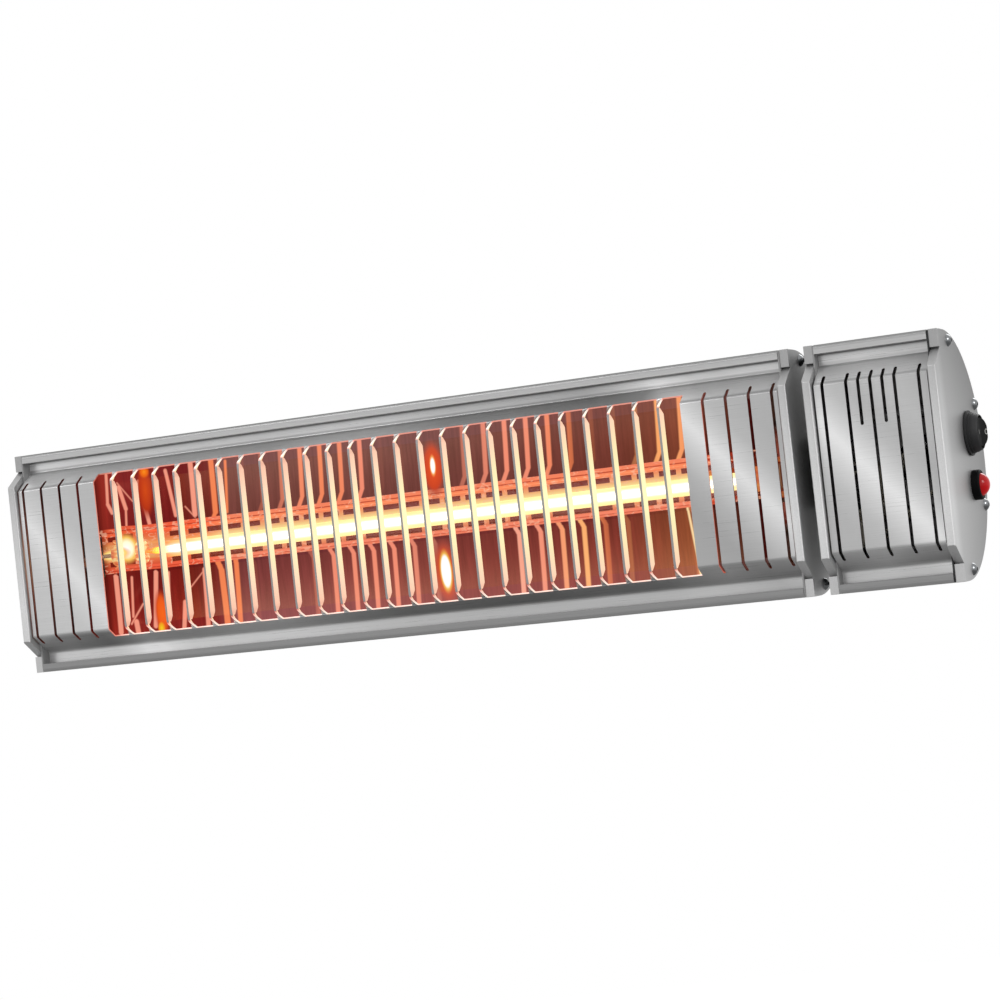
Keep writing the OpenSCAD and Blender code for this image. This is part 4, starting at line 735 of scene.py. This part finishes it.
FINISHES = {
    "housing": anodised_aluminium(),
    "cover": brushed_stainless(),
    "plate": die_cast_aluminium(),
    "reflector": polished_reflector(),
    "black_plastic": even_grain("black_polyamide", 0.5, ("#060607", "#0B0B0C"), (0.5, 0.62), 0.3,
                                Specular_IOR_Level=0.08),
    "rubber": even_grain("black_rubber", 0.8, ("#151516", "#1E1E20"), (0.5, 0.68), 0.35),
    # Cold-headed stainless is bright, with turned rings too fine to show.
    "bolt_steel": even_grain("bright_stainless", 0.5, ("#7C7E80", "#989A9C"), (0.10, 0.18), 0.1,
                             Metallic=1.0),
    "bracket_steel": zinc_steel(),
    "ceramic": even_grain("steatite_ceramic", 1.2, ("#DED6C4", "#EFE8D8"), (0.5, 0.7), 0.2),
    "quartz": clear_quartz(),
    "filament": white_hot_tungsten(),
    "red_lens": lit_red_dome(),
    "lead_sleeve": even_grain("glass_fibre_sleeve", 0.6, ("#C9C2AE", "#E4DDCB"), (0.7, 0.85), 0.5),
    "earth_sleeve": even_grain("green_yellow_sleeve", 4.0, ("#3F7A2A", "#B8B422"), (0.4, 0.5), 0.1),
}
# Some nodes differ from their slot's finish: those at the lamp, the gaskets whose edges show pale,
# and the marked rocker.
PALE_SILICONE = even_grain("grey_silicone", 0.8, ("#7E", "#8C"), (0.5, 0.68), 0.35)
OWN_FINISH = {
    **dict.fromkeys(("lamp_caps", "lamp_clips", "lamp_stands", "lamp_stand_rivets"), lit_fittings()),
    **dict.fromkeys(("main_left_gasket", "main_right_gasket", "control_left_gasket"), PALE_SILICONE),
    "switch_rocker": marked_polyamide(),
}
print("materials:", len(bpy.data.materials))

# %% [markdown]
# ## Meshes from numpy arrays
# A folded sheet is a profile carried along the heater: rows follow the profile, columns run along
# X. The grid's cells are kept or left out, which cuts the windows. Two such skins a sheet apart,
# and strips that close the edges between them, make a solid sheet.

# %% Grids and sheets


def finish_piece(name, mesh, replaced, materials, sharp=35.0, body="heater"):
    """Makes the mesh an object with soft shading, sharp past the angle sharp, on its body."""
    for material in materials:
        mesh.materials.append(material)
    mesh.shade_smooth()
    mesh.set_sharp_from_angle(angle=np.radians(sharp))
    piece = bpy.data.objects.new(name, mesh)
    scene.collection.objects.link(piece)
    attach(piece, body)
    if replaced:
        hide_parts(*replaced)
    return piece


def facing(quads, points, wanted):
    """Each quad's normal is the cross product of its diagonals. Where it looks away from the wanted
    direction, the quad's corners are turned the other way round."""
    corner = points[quads]
    normal = np.cross(corner[:, 2] - corner[:, 0], corner[:, 3] - corner[:, 1])
    away = np.einsum("ij,ij->i", normal, wanted) < 0
    quads[away] = quads[away][:, ::-1]
    return quads


def edge_quads(keep, index, skins, points):
    """Quads across the sheet wherever a kept cell meets a missing one, turned to face the gap."""
    framed = np.pad(keep, 1)
    found = []
    rows, columns = index.shape
    for across in (0, 1):
        first = framed[1:-1, :-1] if across else framed[:-1, 1:-1]
        second = framed[1:-1, 1:] if across else framed[1:, 1:-1]
        for kept, missing, sign in ((first, second, 1), (second, first, -1)):
            row, column = np.nonzero(kept & ~missing)
            start = index[row, column]
            end = index[row + 1, column] if across else index[row, column + 1]
            quad = np.column_stack([start, end, end + skins, start + skins])
            if across:
                inward = index[row, np.clip(column - sign, 0, columns - 1)]
            else:
                inward = index[np.clip(row - sign, 0, rows - 1), column]
            found.append(facing(quad, points, points[start] - points[inward]))
    return np.concatenate(found)


def folded_sheet(outer, inner, outward, keep):
    """The two skins and the edges of a sheet: quads of kept cells on outer and inner points, each
    facing out of the sheet, and how many quads each of the three groups has."""
    rows, columns = outer.shape[:2]
    index = np.arange(rows * columns).reshape(rows, columns)
    points = np.concatenate([outer.reshape(-1, 3), inner.reshape(-1, 3)])
    row, column = np.nonzero(keep)
    cell = np.column_stack([
        index[row, column], index[row + 1, column], index[row + 1, column + 1], index[row, column + 1]
    ])
    out = outward[row, column]
    front = facing(cell.copy(), points, out)
    back = facing(cell + index.size, points, -out)
    edge = edge_quads(keep, index, index.size, points)
    return points, np.concatenate([front, back, edge]), [len(front), len(back), len(edge)]


def quad_mesh(name, points, quads, groups):
    """A mesh of quads from drawing places, with a material index for each group of quads, and
    without the points that no quad uses."""
    used, renumbered = np.unique(quads, return_inverse=True)
    mesh = bpy.data.meshes.new(name)
    mesh.from_pydata(place(points[used]).tolist(), [], renumbered.reshape(quads.shape).tolist())
    mesh.polygons.foreach_set("material_index", np.repeat(np.arange(len(groups)), groups).astype(np.int32))
    return mesh


def carried(path, x):
    """A profile carried along X: a grid of points with a row for each point of the path and a column
    for each x, which may also differ from row to row."""
    return np.stack(np.broadcast_arrays(x, path[:, :1], path[:, 1:]), -1)


def rounded_path(corners, radius, steps):
    """A polyline with each inner corner replaced by an arc of that radius: the arc's middle lies on
    the corner's bisector, and its points turn evenly from one side's normal to the other's."""
    path = [corners[0]]
    for before, corner, after in zip(corners[:-2], corners[1:-1], corners[2:]):
        to_before = (before - corner) / np.linalg.norm(before - corner)
        to_after = (after - corner) / np.linalg.norm(after - corner)
        half = np.arccos(to_before @ to_after) / 2
        bisector = (to_before + to_after) / np.linalg.norm(to_before + to_after)
        middle = corner + bisector * radius / np.sin(half)
        start = corner + to_before * radius / np.tan(half) - middle
        end = corner + to_after * radius / np.tan(half) - middle
        share = np.linspace(0, 1, steps + 1)[:, None]
        turn = np.pi - 2 * half
        arc = (np.sin((1 - share) * turn) * start + np.sin(share * turn) * end) / np.sin(turn)
        path.extend(middle + arc)
    path.append(corners[-1])
    return np.array(path)


def both_halves(top):
    """The upper half of a profile with its mirror image below it, from the bottom to the top."""
    top = np.asarray(top, float)
    return np.concatenate([top[::-1] * [1, -1], top])


def with_rows(path, heights):
    """The path with a point added wherever it passes one of the heights, each kept once."""
    z = path[:, 1]
    wanted = np.union1d(z.round(4), np.round(heights, 4))
    return np.column_stack([np.interp(wanted, z, path[:, 0]), wanted])


def path_normals(path):
    """At each point, the direction at right angles to its neighbours' chord, towards the room."""
    chord = np.gradient(path, axis=0)
    normal = np.column_stack([-chord[:, 1], chord[:, 0]])
    return normal / np.linalg.norm(normal, axis=1)[:, None]


# %% [markdown]
# ## The grille
# The bars of the grille are strips of the cover itself: the punch cuts the windows, and each strip
# left between two windows is turned a little over a quarter turn, so that it stands edge-on and its
# flank faces the lamp's light. In the grid each strip has two columns. Its right edge stays on the
# cover, and its left edge swings inward with the angle, which eases in over the window's ends.

# %% Sizes of the cover
BODY_HALF = drawn("main_housing")[1][2]
MAIN_RIGHT = drawn("main_right_plate")[1][0]
CONTROL_LEFT, CONTROL_RIGHT = drawn("control_left_plate")[0][0], drawn("control_right_plate")[1][0]
SHEET, FLANGE_SET = 1.0, 17.0
FACE_Z, SLOPE_Z, FLANGE_Z = BODY_HALF - 25.0, BODY_HALF - 13.0, drawn("grille")[1][2]
OPEN_Z, TURN_Z = BODY_HALF - 19.8, BODY_HALF - 30.0
FOLD_R, FOLD_STEPS, TURN_STEPS, ROW_PITCH = 2.0, 6, 11, 5.0
BAND_LEFT, BAND_RIGHT = 68.2, MAIN_RIGHT - 69.6
BAR_PITCH, BAR_DEPTH, BAR_LEAN, BAR_EDGE = 16.69, 4.3, 0.8, 0.8
FULL_TURN = np.radians(109)
SLOT_W, SLOT_PITCH, SLOT_EDGE, END_SLOTS = 2.0, 14.88, 10.2, 4
SHORT_SLOT, CONTROL_EDGE = 32.5, 11.74
SLOT_TIP, TIP_LEAST, JUST_OUTSIDE = np.radians([0, 25, 50, 72]), 0.05, -1e-6
BARS = round((BAND_RIGHT - BAND_LEFT) / BAR_PITCH) - 1
BAR_X = (BAND_LEFT + BAND_RIGHT) / 2 + (np.arange(BARS) - (BARS - 1) / 2) * BAR_PITCH

# %% The lamp's light on the cover
LAMP_Y = sum(drawn("quartz_tube"))[1] / 2
LIT_FROM, LIT_TO, EDGE_SHORT = 74.0, 526.0, 24.0
REFERENCE_FAR, BAR_FADE, EDGE_FADE, EDGE_REST = 34.0, 22.0, 7.0, 0.07
ROOT_SHADE, UPPER_SHADE = 0.45, 0.35
# The lamp's painted light grows a little stronger towards the right.
RIGHT_LIGHT_GAIN, RIGHT_LIGHT_FROM, RIGHT_LIGHT_OVER = 0.22, 200, 250
SIDE_SHARE, LOWER_SHARE, UPPER_SHARE = 0.95, 1.3, 0.75


def past_lamp(x, short):
    """How far x lies outside the lit length, which ends short of the lamp's right end."""
    return np.clip(np.maximum(LIT_FROM - x, x - LIT_TO + short), 0, None)


def to_root(z):
    """0 up to where a bar starts to turn back, and 1 at the window's end."""
    return np.clip((z - TURN_Z) / (OPEN_Z - TURN_Z), 0, 1)


def lamp_light(points, normals):
    """Light from a long glowing line: twice the cosine towards its axis over the distance, plus the
    sideways part of the normal over the distance, times a fall-off past the lamp's ends, another
    towards the bars' roots, which the folds shade, and a small gain to the right."""
    to_axis = np.stack([LAMP_Y - points[..., 1], -points[..., 2]], -1)
    far = np.linalg.norm(to_axis, axis=-1)
    towards = np.clip((normals[..., 1:] * to_axis).sum(-1) / far, 0, None)
    fade = np.exp(-past_lamp(points[..., 0], 0) / BAR_FADE)
    rooted = 1 - ROOT_SHADE * to_root(np.abs(points[..., 2]))
    right_light = 1 + RIGHT_LIGHT_GAIN * np.clip((points[..., 0] - RIGHT_LIGHT_FROM) / RIGHT_LIGHT_OVER, 0, 1)
    return REFERENCE_FAR * (2 * towards + np.abs(normals[..., 0])) / far * fade * rooted * right_light


def edge_light(points, normals):
    """Light on a cut edge: most on the windows' lower ends, less on the sides that face right, whose
    upper roots are shaded, least on the windows' upper ends, and falling off outside the lit
    length."""
    side, end = np.clip(normals[..., 0], 0, 1), normals[..., 2]
    side = side * (1 - UPPER_SHADE * to_root(points[..., 2]))
    ends = LOWER_SHARE * np.clip(end, 0, 1) + UPPER_SHARE * np.clip(-end, 0, 1)
    fade = np.exp(-past_lamp(points[..., 0], EDGE_SHORT) / EDGE_FADE)
    return (SIDE_SHARE * side**2 + ends) * (EDGE_REST + (1 - EDGE_REST) * fade)


# %% The folded sheet and its openings


def slot_tip_rows(end, inward):
    """Heights at a slot's round end: points on a circle of the slot's radius whose outermost point
    lies at end."""
    return end + inward * SLOT_W / 2 * (1 - np.sin(SLOT_TIP))


def cover_profile(extra):
    """The folded cover seen from its end, with rows at the openings' ends and every 5 mm."""
    top = [(0.0, 0.0), (0.0, FACE_Z), (FLANGE_SET, SLOPE_Z), (FLANGE_SET, FLANGE_Z)]
    path = both_halves(rounded_path(np.array(top), FOLD_R, FOLD_STEPS)[1:])
    upper = np.concatenate([np.linspace(TURN_Z, OPEN_Z, TURN_STEPS), slot_tip_rows(OPEN_Z, -1)])
    steady = np.arange(-9, 10) * ROW_PITCH
    return with_rows(path, np.concatenate([upper, -upper, steady, extra]))


def half_width(z, low, high):
    """A slot's half width at height z: full in its length, a circle's at its ends, and full again
    past them, where the cells are kept."""
    radius = SLOT_W / 2
    into = np.minimum(z - low, high - z)
    inside = (into > JUST_OUTSIDE) & (into < radius)
    chord = radius**2 - (radius - np.clip(into, TIP_LEAST, radius))**2
    return np.where(inside, np.sqrt(np.clip(chord, 0, None)), radius)


def sheet_columns(z, left, right, slots, bars, edge):
    """The columns from left to right, each an x, 1 on a bar, and how far it is swung in, and the
    gaps between columns, each a column and two heights. A bar has two columns, and a window lies
    before each bar and before the band's end."""
    marks = [(x, "slot", span) for x, *span in slots] + [(x, "bar", None) for x in bars]
    if len(bars):
        marks += [(BAND_LEFT, "start", None), (BAND_RIGHT, "end", None)]
    columns, gaps = [(left, 0, 0)], []
    for x, kind, span in sorted(marks, key=lambda mark: mark[0]):
        if kind in ("bar", "end"):
            gaps.append((len(columns) - 1, -OPEN_Z, OPEN_Z))
        if kind == "slot":
            gaps.append((len(columns), *span))
            half = half_width(z, *span)
            columns += [(x - half, 0, 0), (x + half, 0, 0)]
        elif kind == "bar":
            columns += [(x + edge, 1, BAR_DEPTH), (x + edge, 1, 0)]
        else:
            columns.append((x, 0, 0))
    return columns + [(right, 0, 0)], gaps


def make_sheet(name, node, slots, bars):
    """A cover sheet in a node's place. slots are (x, low, high). A bar's normal turns from n to
    -x sin(turn) + n cos(turn), and its far column swings in by its depth along -x cos(turn) -
    n sin(turn). The front edge is a little thicker where the bar is turned."""
    (left, *_), (right, *_) = drawn(node)
    tips = [slot_tip_rows(end, way) for _, *span in slots for end, way in zip(span, (1, -1))]
    profile = cover_profile(np.concatenate(tips))
    z = profile[:, 1]
    turned = 1 - to_root(np.abs(z))
    turn = np.arccos(1 - (1 - np.cos(FULL_TURN)) * turned)
    drift = (SHEET + BAR_LEAN) * (1 - np.sin(np.minimum(turn, np.pi / 2)))
    columns, gaps = sheet_columns(z, left, right, slots, bars, drift - SHEET / 2)

    sine, cosine = np.sin(turn)[:, None], np.cos(turn)[:, None]
    normal = path_normals(profile)
    swing = np.hstack([-cosine, -sine * normal])[:, None]
    flat_out, bar_out = np.hstack([0 * sine, normal])[:, None], np.hstack([-sine, cosine * normal])[:, None]
    on_bar, depth = np.array([column[1:] for column in columns], float).T[..., None]
    outward = np.where(on_bar, bar_out, flat_out)
    extra = BAR_EDGE * turned[:, None, None] * on_bar
    x = np.stack([np.broadcast_to(column[0], len(z)) for column in columns], 1)
    outer = carried(profile, x) + depth * swing + extra * outward
    inner = outer - (SHEET + extra) * outward
    keep = np.ones((len(z) - 1, len(columns) - 1), bool)
    middle = (z[1:] + z[:-1]) / 2
    for column, low, high in gaps:
        keep[(middle > low) & (middle < high), column] = False
    points, quads, groups = folded_sheet(outer, inner, outward, keep)
    mesh = quad_mesh(name, points, quads, groups)

    light = np.zeros(len(quads) * 4, np.float32)
    if len(bars):
        corner = points[quads].reshape(-1, 3)
        skin = np.concatenate([outward.reshape(-1, 3), -outward.reshape(-1, 3)])[quads].reshape(-1, 3)
        face = np.zeros(len(quads) * 3)
        mesh.polygons.foreach_get("normal", face)
        face = np.repeat(face.reshape(-1, 3), 4, axis=0)
        back, edge = slice(groups[0] * 4, -groups[2] * 4), slice(-groups[2] * 4, None)
        light[back] = lamp_light(corner[back], skin[back])
        light[edge] = edge_light(corner[edge], face[edge])
    mesh.attributes.new("lamp_light", "FLOAT", "CORNER").data.foreach_set("value", light)
    print(name, keep.shape, "cells", len(quads), "quads, light up to", light.max().round(2))
    finish_piece(name, mesh, [node], [FINISHES["cover"], INNER_STEEL, CUT_EDGE])


end_slots = [SLOT_EDGE + i * SLOT_PITCH for i in range(END_SLOTS)]
main_slots = [(x, -OPEN_Z, OPEN_Z) for x in end_slots + [MAIN_RIGHT - x for x in end_slots]]
make_sheet("grille_sheet", "grille", main_slots, BAR_X)

control_middle = (CONTROL_LEFT + CONTROL_RIGHT) / 2
control_pitch = (CONTROL_RIGHT - CONTROL_LEFT - 2 * CONTROL_EDGE) / 4
control_slots = [(control_middle + i * control_pitch, -OPEN_Z, OPEN_Z) for i in range(-2, 3)]
control_slots += [(control_middle + s * control_pitch / 2, OPEN_Z - SHORT_SLOT, OPEN_Z) for s in (-1, 1)]
make_sheet("control_cover_sheet", "control_cover", control_slots, [])

# %% [markdown]
# ## Reflector, tube and coil
# The trough follows a parabola whose focus is the lamp, so its profile is a formula too. Cooling
# slots are cells left out of the channel's floor. The filament is a helix swept by a small circle.

# %% Reflector
FOCAL, CHANNEL_Z, CHANNEL_DEPTH, REFLECTOR_T = 15.7, 14.5, 9.0, 0.6
TROUGH_Z, TROUGH_STEPS = BODY_HALF - 26.5, 22
VERTEX_Y = LAMP_Y + FOCAL


def reflector_profile():
    """The channel's floor and wall, the parabola y = vertex - z squared over four focal lengths, and
    the flange that lies on the cover's flange. The floor has a point at each slot's edge."""
    z = np.linspace(CHANNEL_Z, TROUGH_Z, TROUGH_STEPS)
    parabola = np.column_stack([VERTEX_Y - z**2 / (4 * FOCAL), z])
    floor_y = parabola[0, 0] + CHANNEL_DEPTH
    half = both_halves([(floor_y, CHANNEL_Z), *parabola, (FLANGE_SET + SHEET, FLANGE_Z)])
    edges = [(floor_y, row + way * COOL_H / 2) for row in (COOL_LOW, COOL_HIGH) for way in (-1, 1)]
    return np.concatenate([half[:len(half) // 2], edges, half[len(half) // 2:]])


def make_reflector():
    """The profile carried along X, with columns at the cooling slots' ends. Its back lies a
    thickness away along the mitre of each point's two sides."""
    low, high = drawn("reflector")
    profile = reflector_profile()
    step = np.diff(profile, axis=0)
    side = np.column_stack([step[:, 1], -step[:, 0]])
    side /= np.linalg.norm(side, axis=1)[:, None]
    before, after = np.vstack([side[:1], side]), np.vstack([side, side[-1:]])
    both = before + after
    mitre = both / (both * before).sum(1)[:, None]
    slots = int((LIT_TO - LIT_FROM - COOL_PITCH) // COOL_PITCH)
    start = (LIT_FROM + LIT_TO) / 2 + (np.arange(slots) - (slots - 1) / 2) * COOL_PITCH - COOL_L / 2
    x = np.sort(np.concatenate([[low[0], high[0]], start, start + COOL_L]))
    front, back = carried(profile, x), carried(profile + REFLECTOR_T * mitre, x)
    middle = (profile[1:, 1] + profile[:-1, 1]) / 2
    on_floor = np.isclose(middle, COOL_LOW) | np.isclose(middle, COOL_HIGH)
    keep = np.ones((len(profile) - 1, len(x) - 1), bool)
    keep[np.ix_(on_floor, np.isin(x[:-1], start))] = False
    points, quads, groups = folded_sheet(front, back, front - back, keep)
    mesh = quad_mesh("reflector_trough", points, quads, groups)
    print("reflector quads", len(quads), "slots", 2 * slots)
    finishes = [FINISHES[slot] for slot in ("reflector", "housing", "reflector")]
    finish_piece("reflector_trough", mesh, ["reflector"], finishes, 30)


make_reflector()

# %% Tubes and the filament
COIL_R, WIRE_R, COIL_PITCH, COIL_INSET, LEG_END = 2.05, 0.35, 1.3, 2.0, 1.0
COIL_STEPS, WIRE_SIDES, COIL_EASE, COIL_LEAST = 12, 5, 12.0, 0.15
TUBE_SIDES, TIP_STEPS, TIP_FROM, TIP_LENGTH, TUBE_STEPS = 48, 8, 0.12, 0.6, 60


def swept(path, radius, sides):
    """A circle carried along a path: at each point the circle's plane is square to the path, spanned
    by two directions that are both at right angles to it."""
    path = np.asarray(path, float)
    tangent = np.gradient(path, axis=0)
    tangent /= np.linalg.norm(tangent, axis=1)[:, None]
    helper = np.where(np.abs(tangent[:, :1]) > 0.9, [[0.0, 0.0, 1.0]], [[1.0, 0.0, 0.0]])
    across = np.cross(tangent, helper)
    across /= np.linalg.norm(across, axis=1)[:, None]
    other = np.cross(tangent, across)
    angle = np.linspace(0, 2 * np.pi, sides, endpoint=False)[:, None]
    ring = np.cos(angle) * across[:, None] + np.sin(angle) * other[:, None]
    return path[:, None] + np.broadcast_to(radius, len(path))[:, None, None] * ring


def ring_mesh(name, rings):
    """Quads between rings of points, and a face on each end."""
    count, sides = rings.shape[:2]
    index = np.arange(count * sides).reshape(count, sides)
    after = np.roll(index, -1, axis=1)
    quads = np.stack([index[:-1], index[1:], after[1:], after[:-1]], -1).reshape(-1, 4).tolist()
    faces = quads + [index[0].tolist(), index[-1][::-1].tolist()]
    mesh = bpy.data.meshes.new(name)
    mesh.from_pydata(place(rings.reshape(-1, 3)).tolist(), [], faces)
    shape = bmesh.new()
    shape.from_mesh(mesh)
    bmesh.ops.recalc_face_normals(shape, faces=shape.faces)
    shape.to_mesh(mesh)
    shape.free()
    return mesh


def coil_path(start, end):
    """A helix: x grows steadily with the angle, and y and z go round a circle, which is small at
    both ends, where the coil's legs leave it."""
    turns = int((end - start) / COIL_PITCH)
    angle = np.linspace(0, 2 * np.pi * turns, turns * COIL_STEPS + 1)
    x = np.linspace(start, end, len(angle))
    radius = COIL_R * np.clip(np.minimum(x - start, end - x) / COIL_EASE, COIL_LEAST, 1)
    print("coil turns:", turns)
    return np.column_stack([x, LAMP_Y + radius * np.cos(angle), radius * np.sin(angle)])


def make_filament():
    """The coil with a straight leg at each end, along the lamp's axis."""
    low, high = drawn("filament")
    start, end = low[0] + COIL_INSET, high[0] - COIL_INSET
    legs = np.array([(x, LAMP_Y, 0.0) for x in (low[0], start - LEG_END, end + LEG_END, high[0])])
    path = np.vstack([legs[:2], coil_path(start, end), legs[2:]])
    mesh = ring_mesh("filament_coil", swept(path, WIRE_R, WIRE_SIDES))
    finish_piece("filament_coil", mesh, ["filament"], [FINISHES["filament"]], 80)


def make_quartz():
    """A tube with two short blunt cones for its ends: s runs from the tip's share of the radius to
    1, and x goes inward with s."""
    low, high = drawn("quartz_tube")
    radius = (high[2] - low[2]) / 2
    s = np.sin(np.linspace(TIP_FROM, np.pi / 2, TIP_STEPS))
    tip = radius * (1 - s) * TIP_LENGTH
    left, right = low[0] + tip, (high[0] - tip)[::-1]
    x = np.concatenate([left, np.linspace(left[-1], right[0], TUBE_STEPS)[1:-1], right])
    size = radius * np.concatenate([s, np.ones(TUBE_STEPS - 2), s[::-1]])
    path = np.column_stack([x, np.full(len(x), LAMP_Y), np.zeros(len(x))])
    mesh = ring_mesh("quartz_lamp_tube", swept(path, size, TUBE_SIDES))
    finish_piece("quartz_lamp_tube", mesh, ["quartz_tube"], [FINISHES["quartz"]])


make_filament()
make_quartz()

# %% [markdown]
# ## The rigid pieces
# The other nodes have the right shape already. A copy of each gets its triangles merged back into
# plain faces and its edges rounded by a fraction of a millimetre, because an edge that catches no
# light is what gives a computer model away.

# %% Dressed copies
EDGE_ROUND = {
    "housing": 0.25, "plate": 0.45, "bracket_steel": 0.35, "bolt_steel": 0.15, "black_plastic": 0.25,
    "rubber": 0.2, "ceramic": 0.4
}
MERGE_NEAR, FLAT_ANGLE, SHARP_ANGLE = 1e-6, 0.3, 28.0


def dressed(node, slot):
    """A copy of a CAD node: doubles merged, flat triangles joined, and a narrow bevel on its edges."""
    source = frame["nodes"][node]
    shape = bmesh.new()
    shape.from_mesh(source.data)
    bmesh.ops.remove_doubles(shape, verts=shape.verts, dist=MERGE_NEAR)
    bmesh.ops.dissolve_limit(shape, angle_limit=np.radians(FLAT_ANGLE), verts=shape.verts, edges=shape.edges)
    points = [tuple(v.co) for v in shape.verts]
    faces = [[v.index for v in f.verts] for f in shape.faces]
    shape.free()
    name = node + "_dressed"
    mesh = bpy.data.meshes.new(name)
    mesh.from_pydata(points, [], faces)
    finish = OWN_FINISH.get(node, FINISHES[slot])
    piece = finish_piece(name, mesh, [node], [finish], SHARP_ANGLE, source["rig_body"])
    if slot in EDGE_ROUND:
        bevel = piece.modifiers.new("rounded_edges", "BEVEL")
        bevel.width, bevel.segments = EDGE_ROUND[slot] * MM, 2
        bevel.limit_method, bevel.angle_limit = "ANGLE", np.radians(SHARP_ANGLE)
        bevel.harden_normals = True
        bevel.use_clamp_overlap = True


MADE_ANEW = {"grille", "control_cover", "reflector", "filament", "quartz_tube"}
slots = {part["node"]: part["material_slot"] for part in frame["record"]["subparts"]}
for node, slot in slots.items():
    frame["nodes"][node].data.materials.clear()
    frame["nodes"][node].data.materials.append(FINISHES[slot])
    if node not in MADE_ANEW:
        dressed(node, slot)
print("dressed:", len(slots) - len(MADE_ANEW))

# %% [markdown]
# ## The rails' rounded corners
# Along each rail's outer corner the extrusion has a smooth quarter round. A thin skin follows that
# round and closes the narrow joint that the solid leaves under it.

# %% Corner skins
CORNER_R, SKIN_T, SKIN_PROUD = 2.5, 0.35, 0.01
SKIN_BELOW, SKIN_TURN, SKIN_STEPS = 0.4, np.radians(34), 7


def corner_skin(node, way):
    """A strip along X whose section is a short straight, then an arc: y = middle - radius cos(a) and
    z = middle + radius sin(a). The same path a wall thickness inside closes it."""
    low, high = drawn(node)
    middle_y, middle_z = low[1] + CORNER_R, high[2] - CORNER_R
    angle = np.linspace(0, SKIN_TURN, SKIN_STEPS)
    sections = []
    for radius in (CORNER_R + SKIN_PROUD, CORNER_R - SKIN_T):
        arc = np.column_stack([middle_y - radius * np.cos(angle), middle_z + radius * np.sin(angle)])
        sections.append(np.vstack([[arc[0, 0], middle_z - SKIN_BELOW], arc]))
    section = np.vstack([sections[0], sections[1][::-1]]) * [1, way]
    rings = carried(section, [low[0], high[0]]).swapaxes(0, 1)
    name = node + ("_upper_corner" if way > 0 else "_lower_corner")
    finish_piece(name, ring_mesh(name, rings), [], [FINISHES["housing"]])


for housing in ("main_housing", "control_housing"):
    for way in (1, -1):
        corner_skin(housing, way)
print("corner skins: 4")
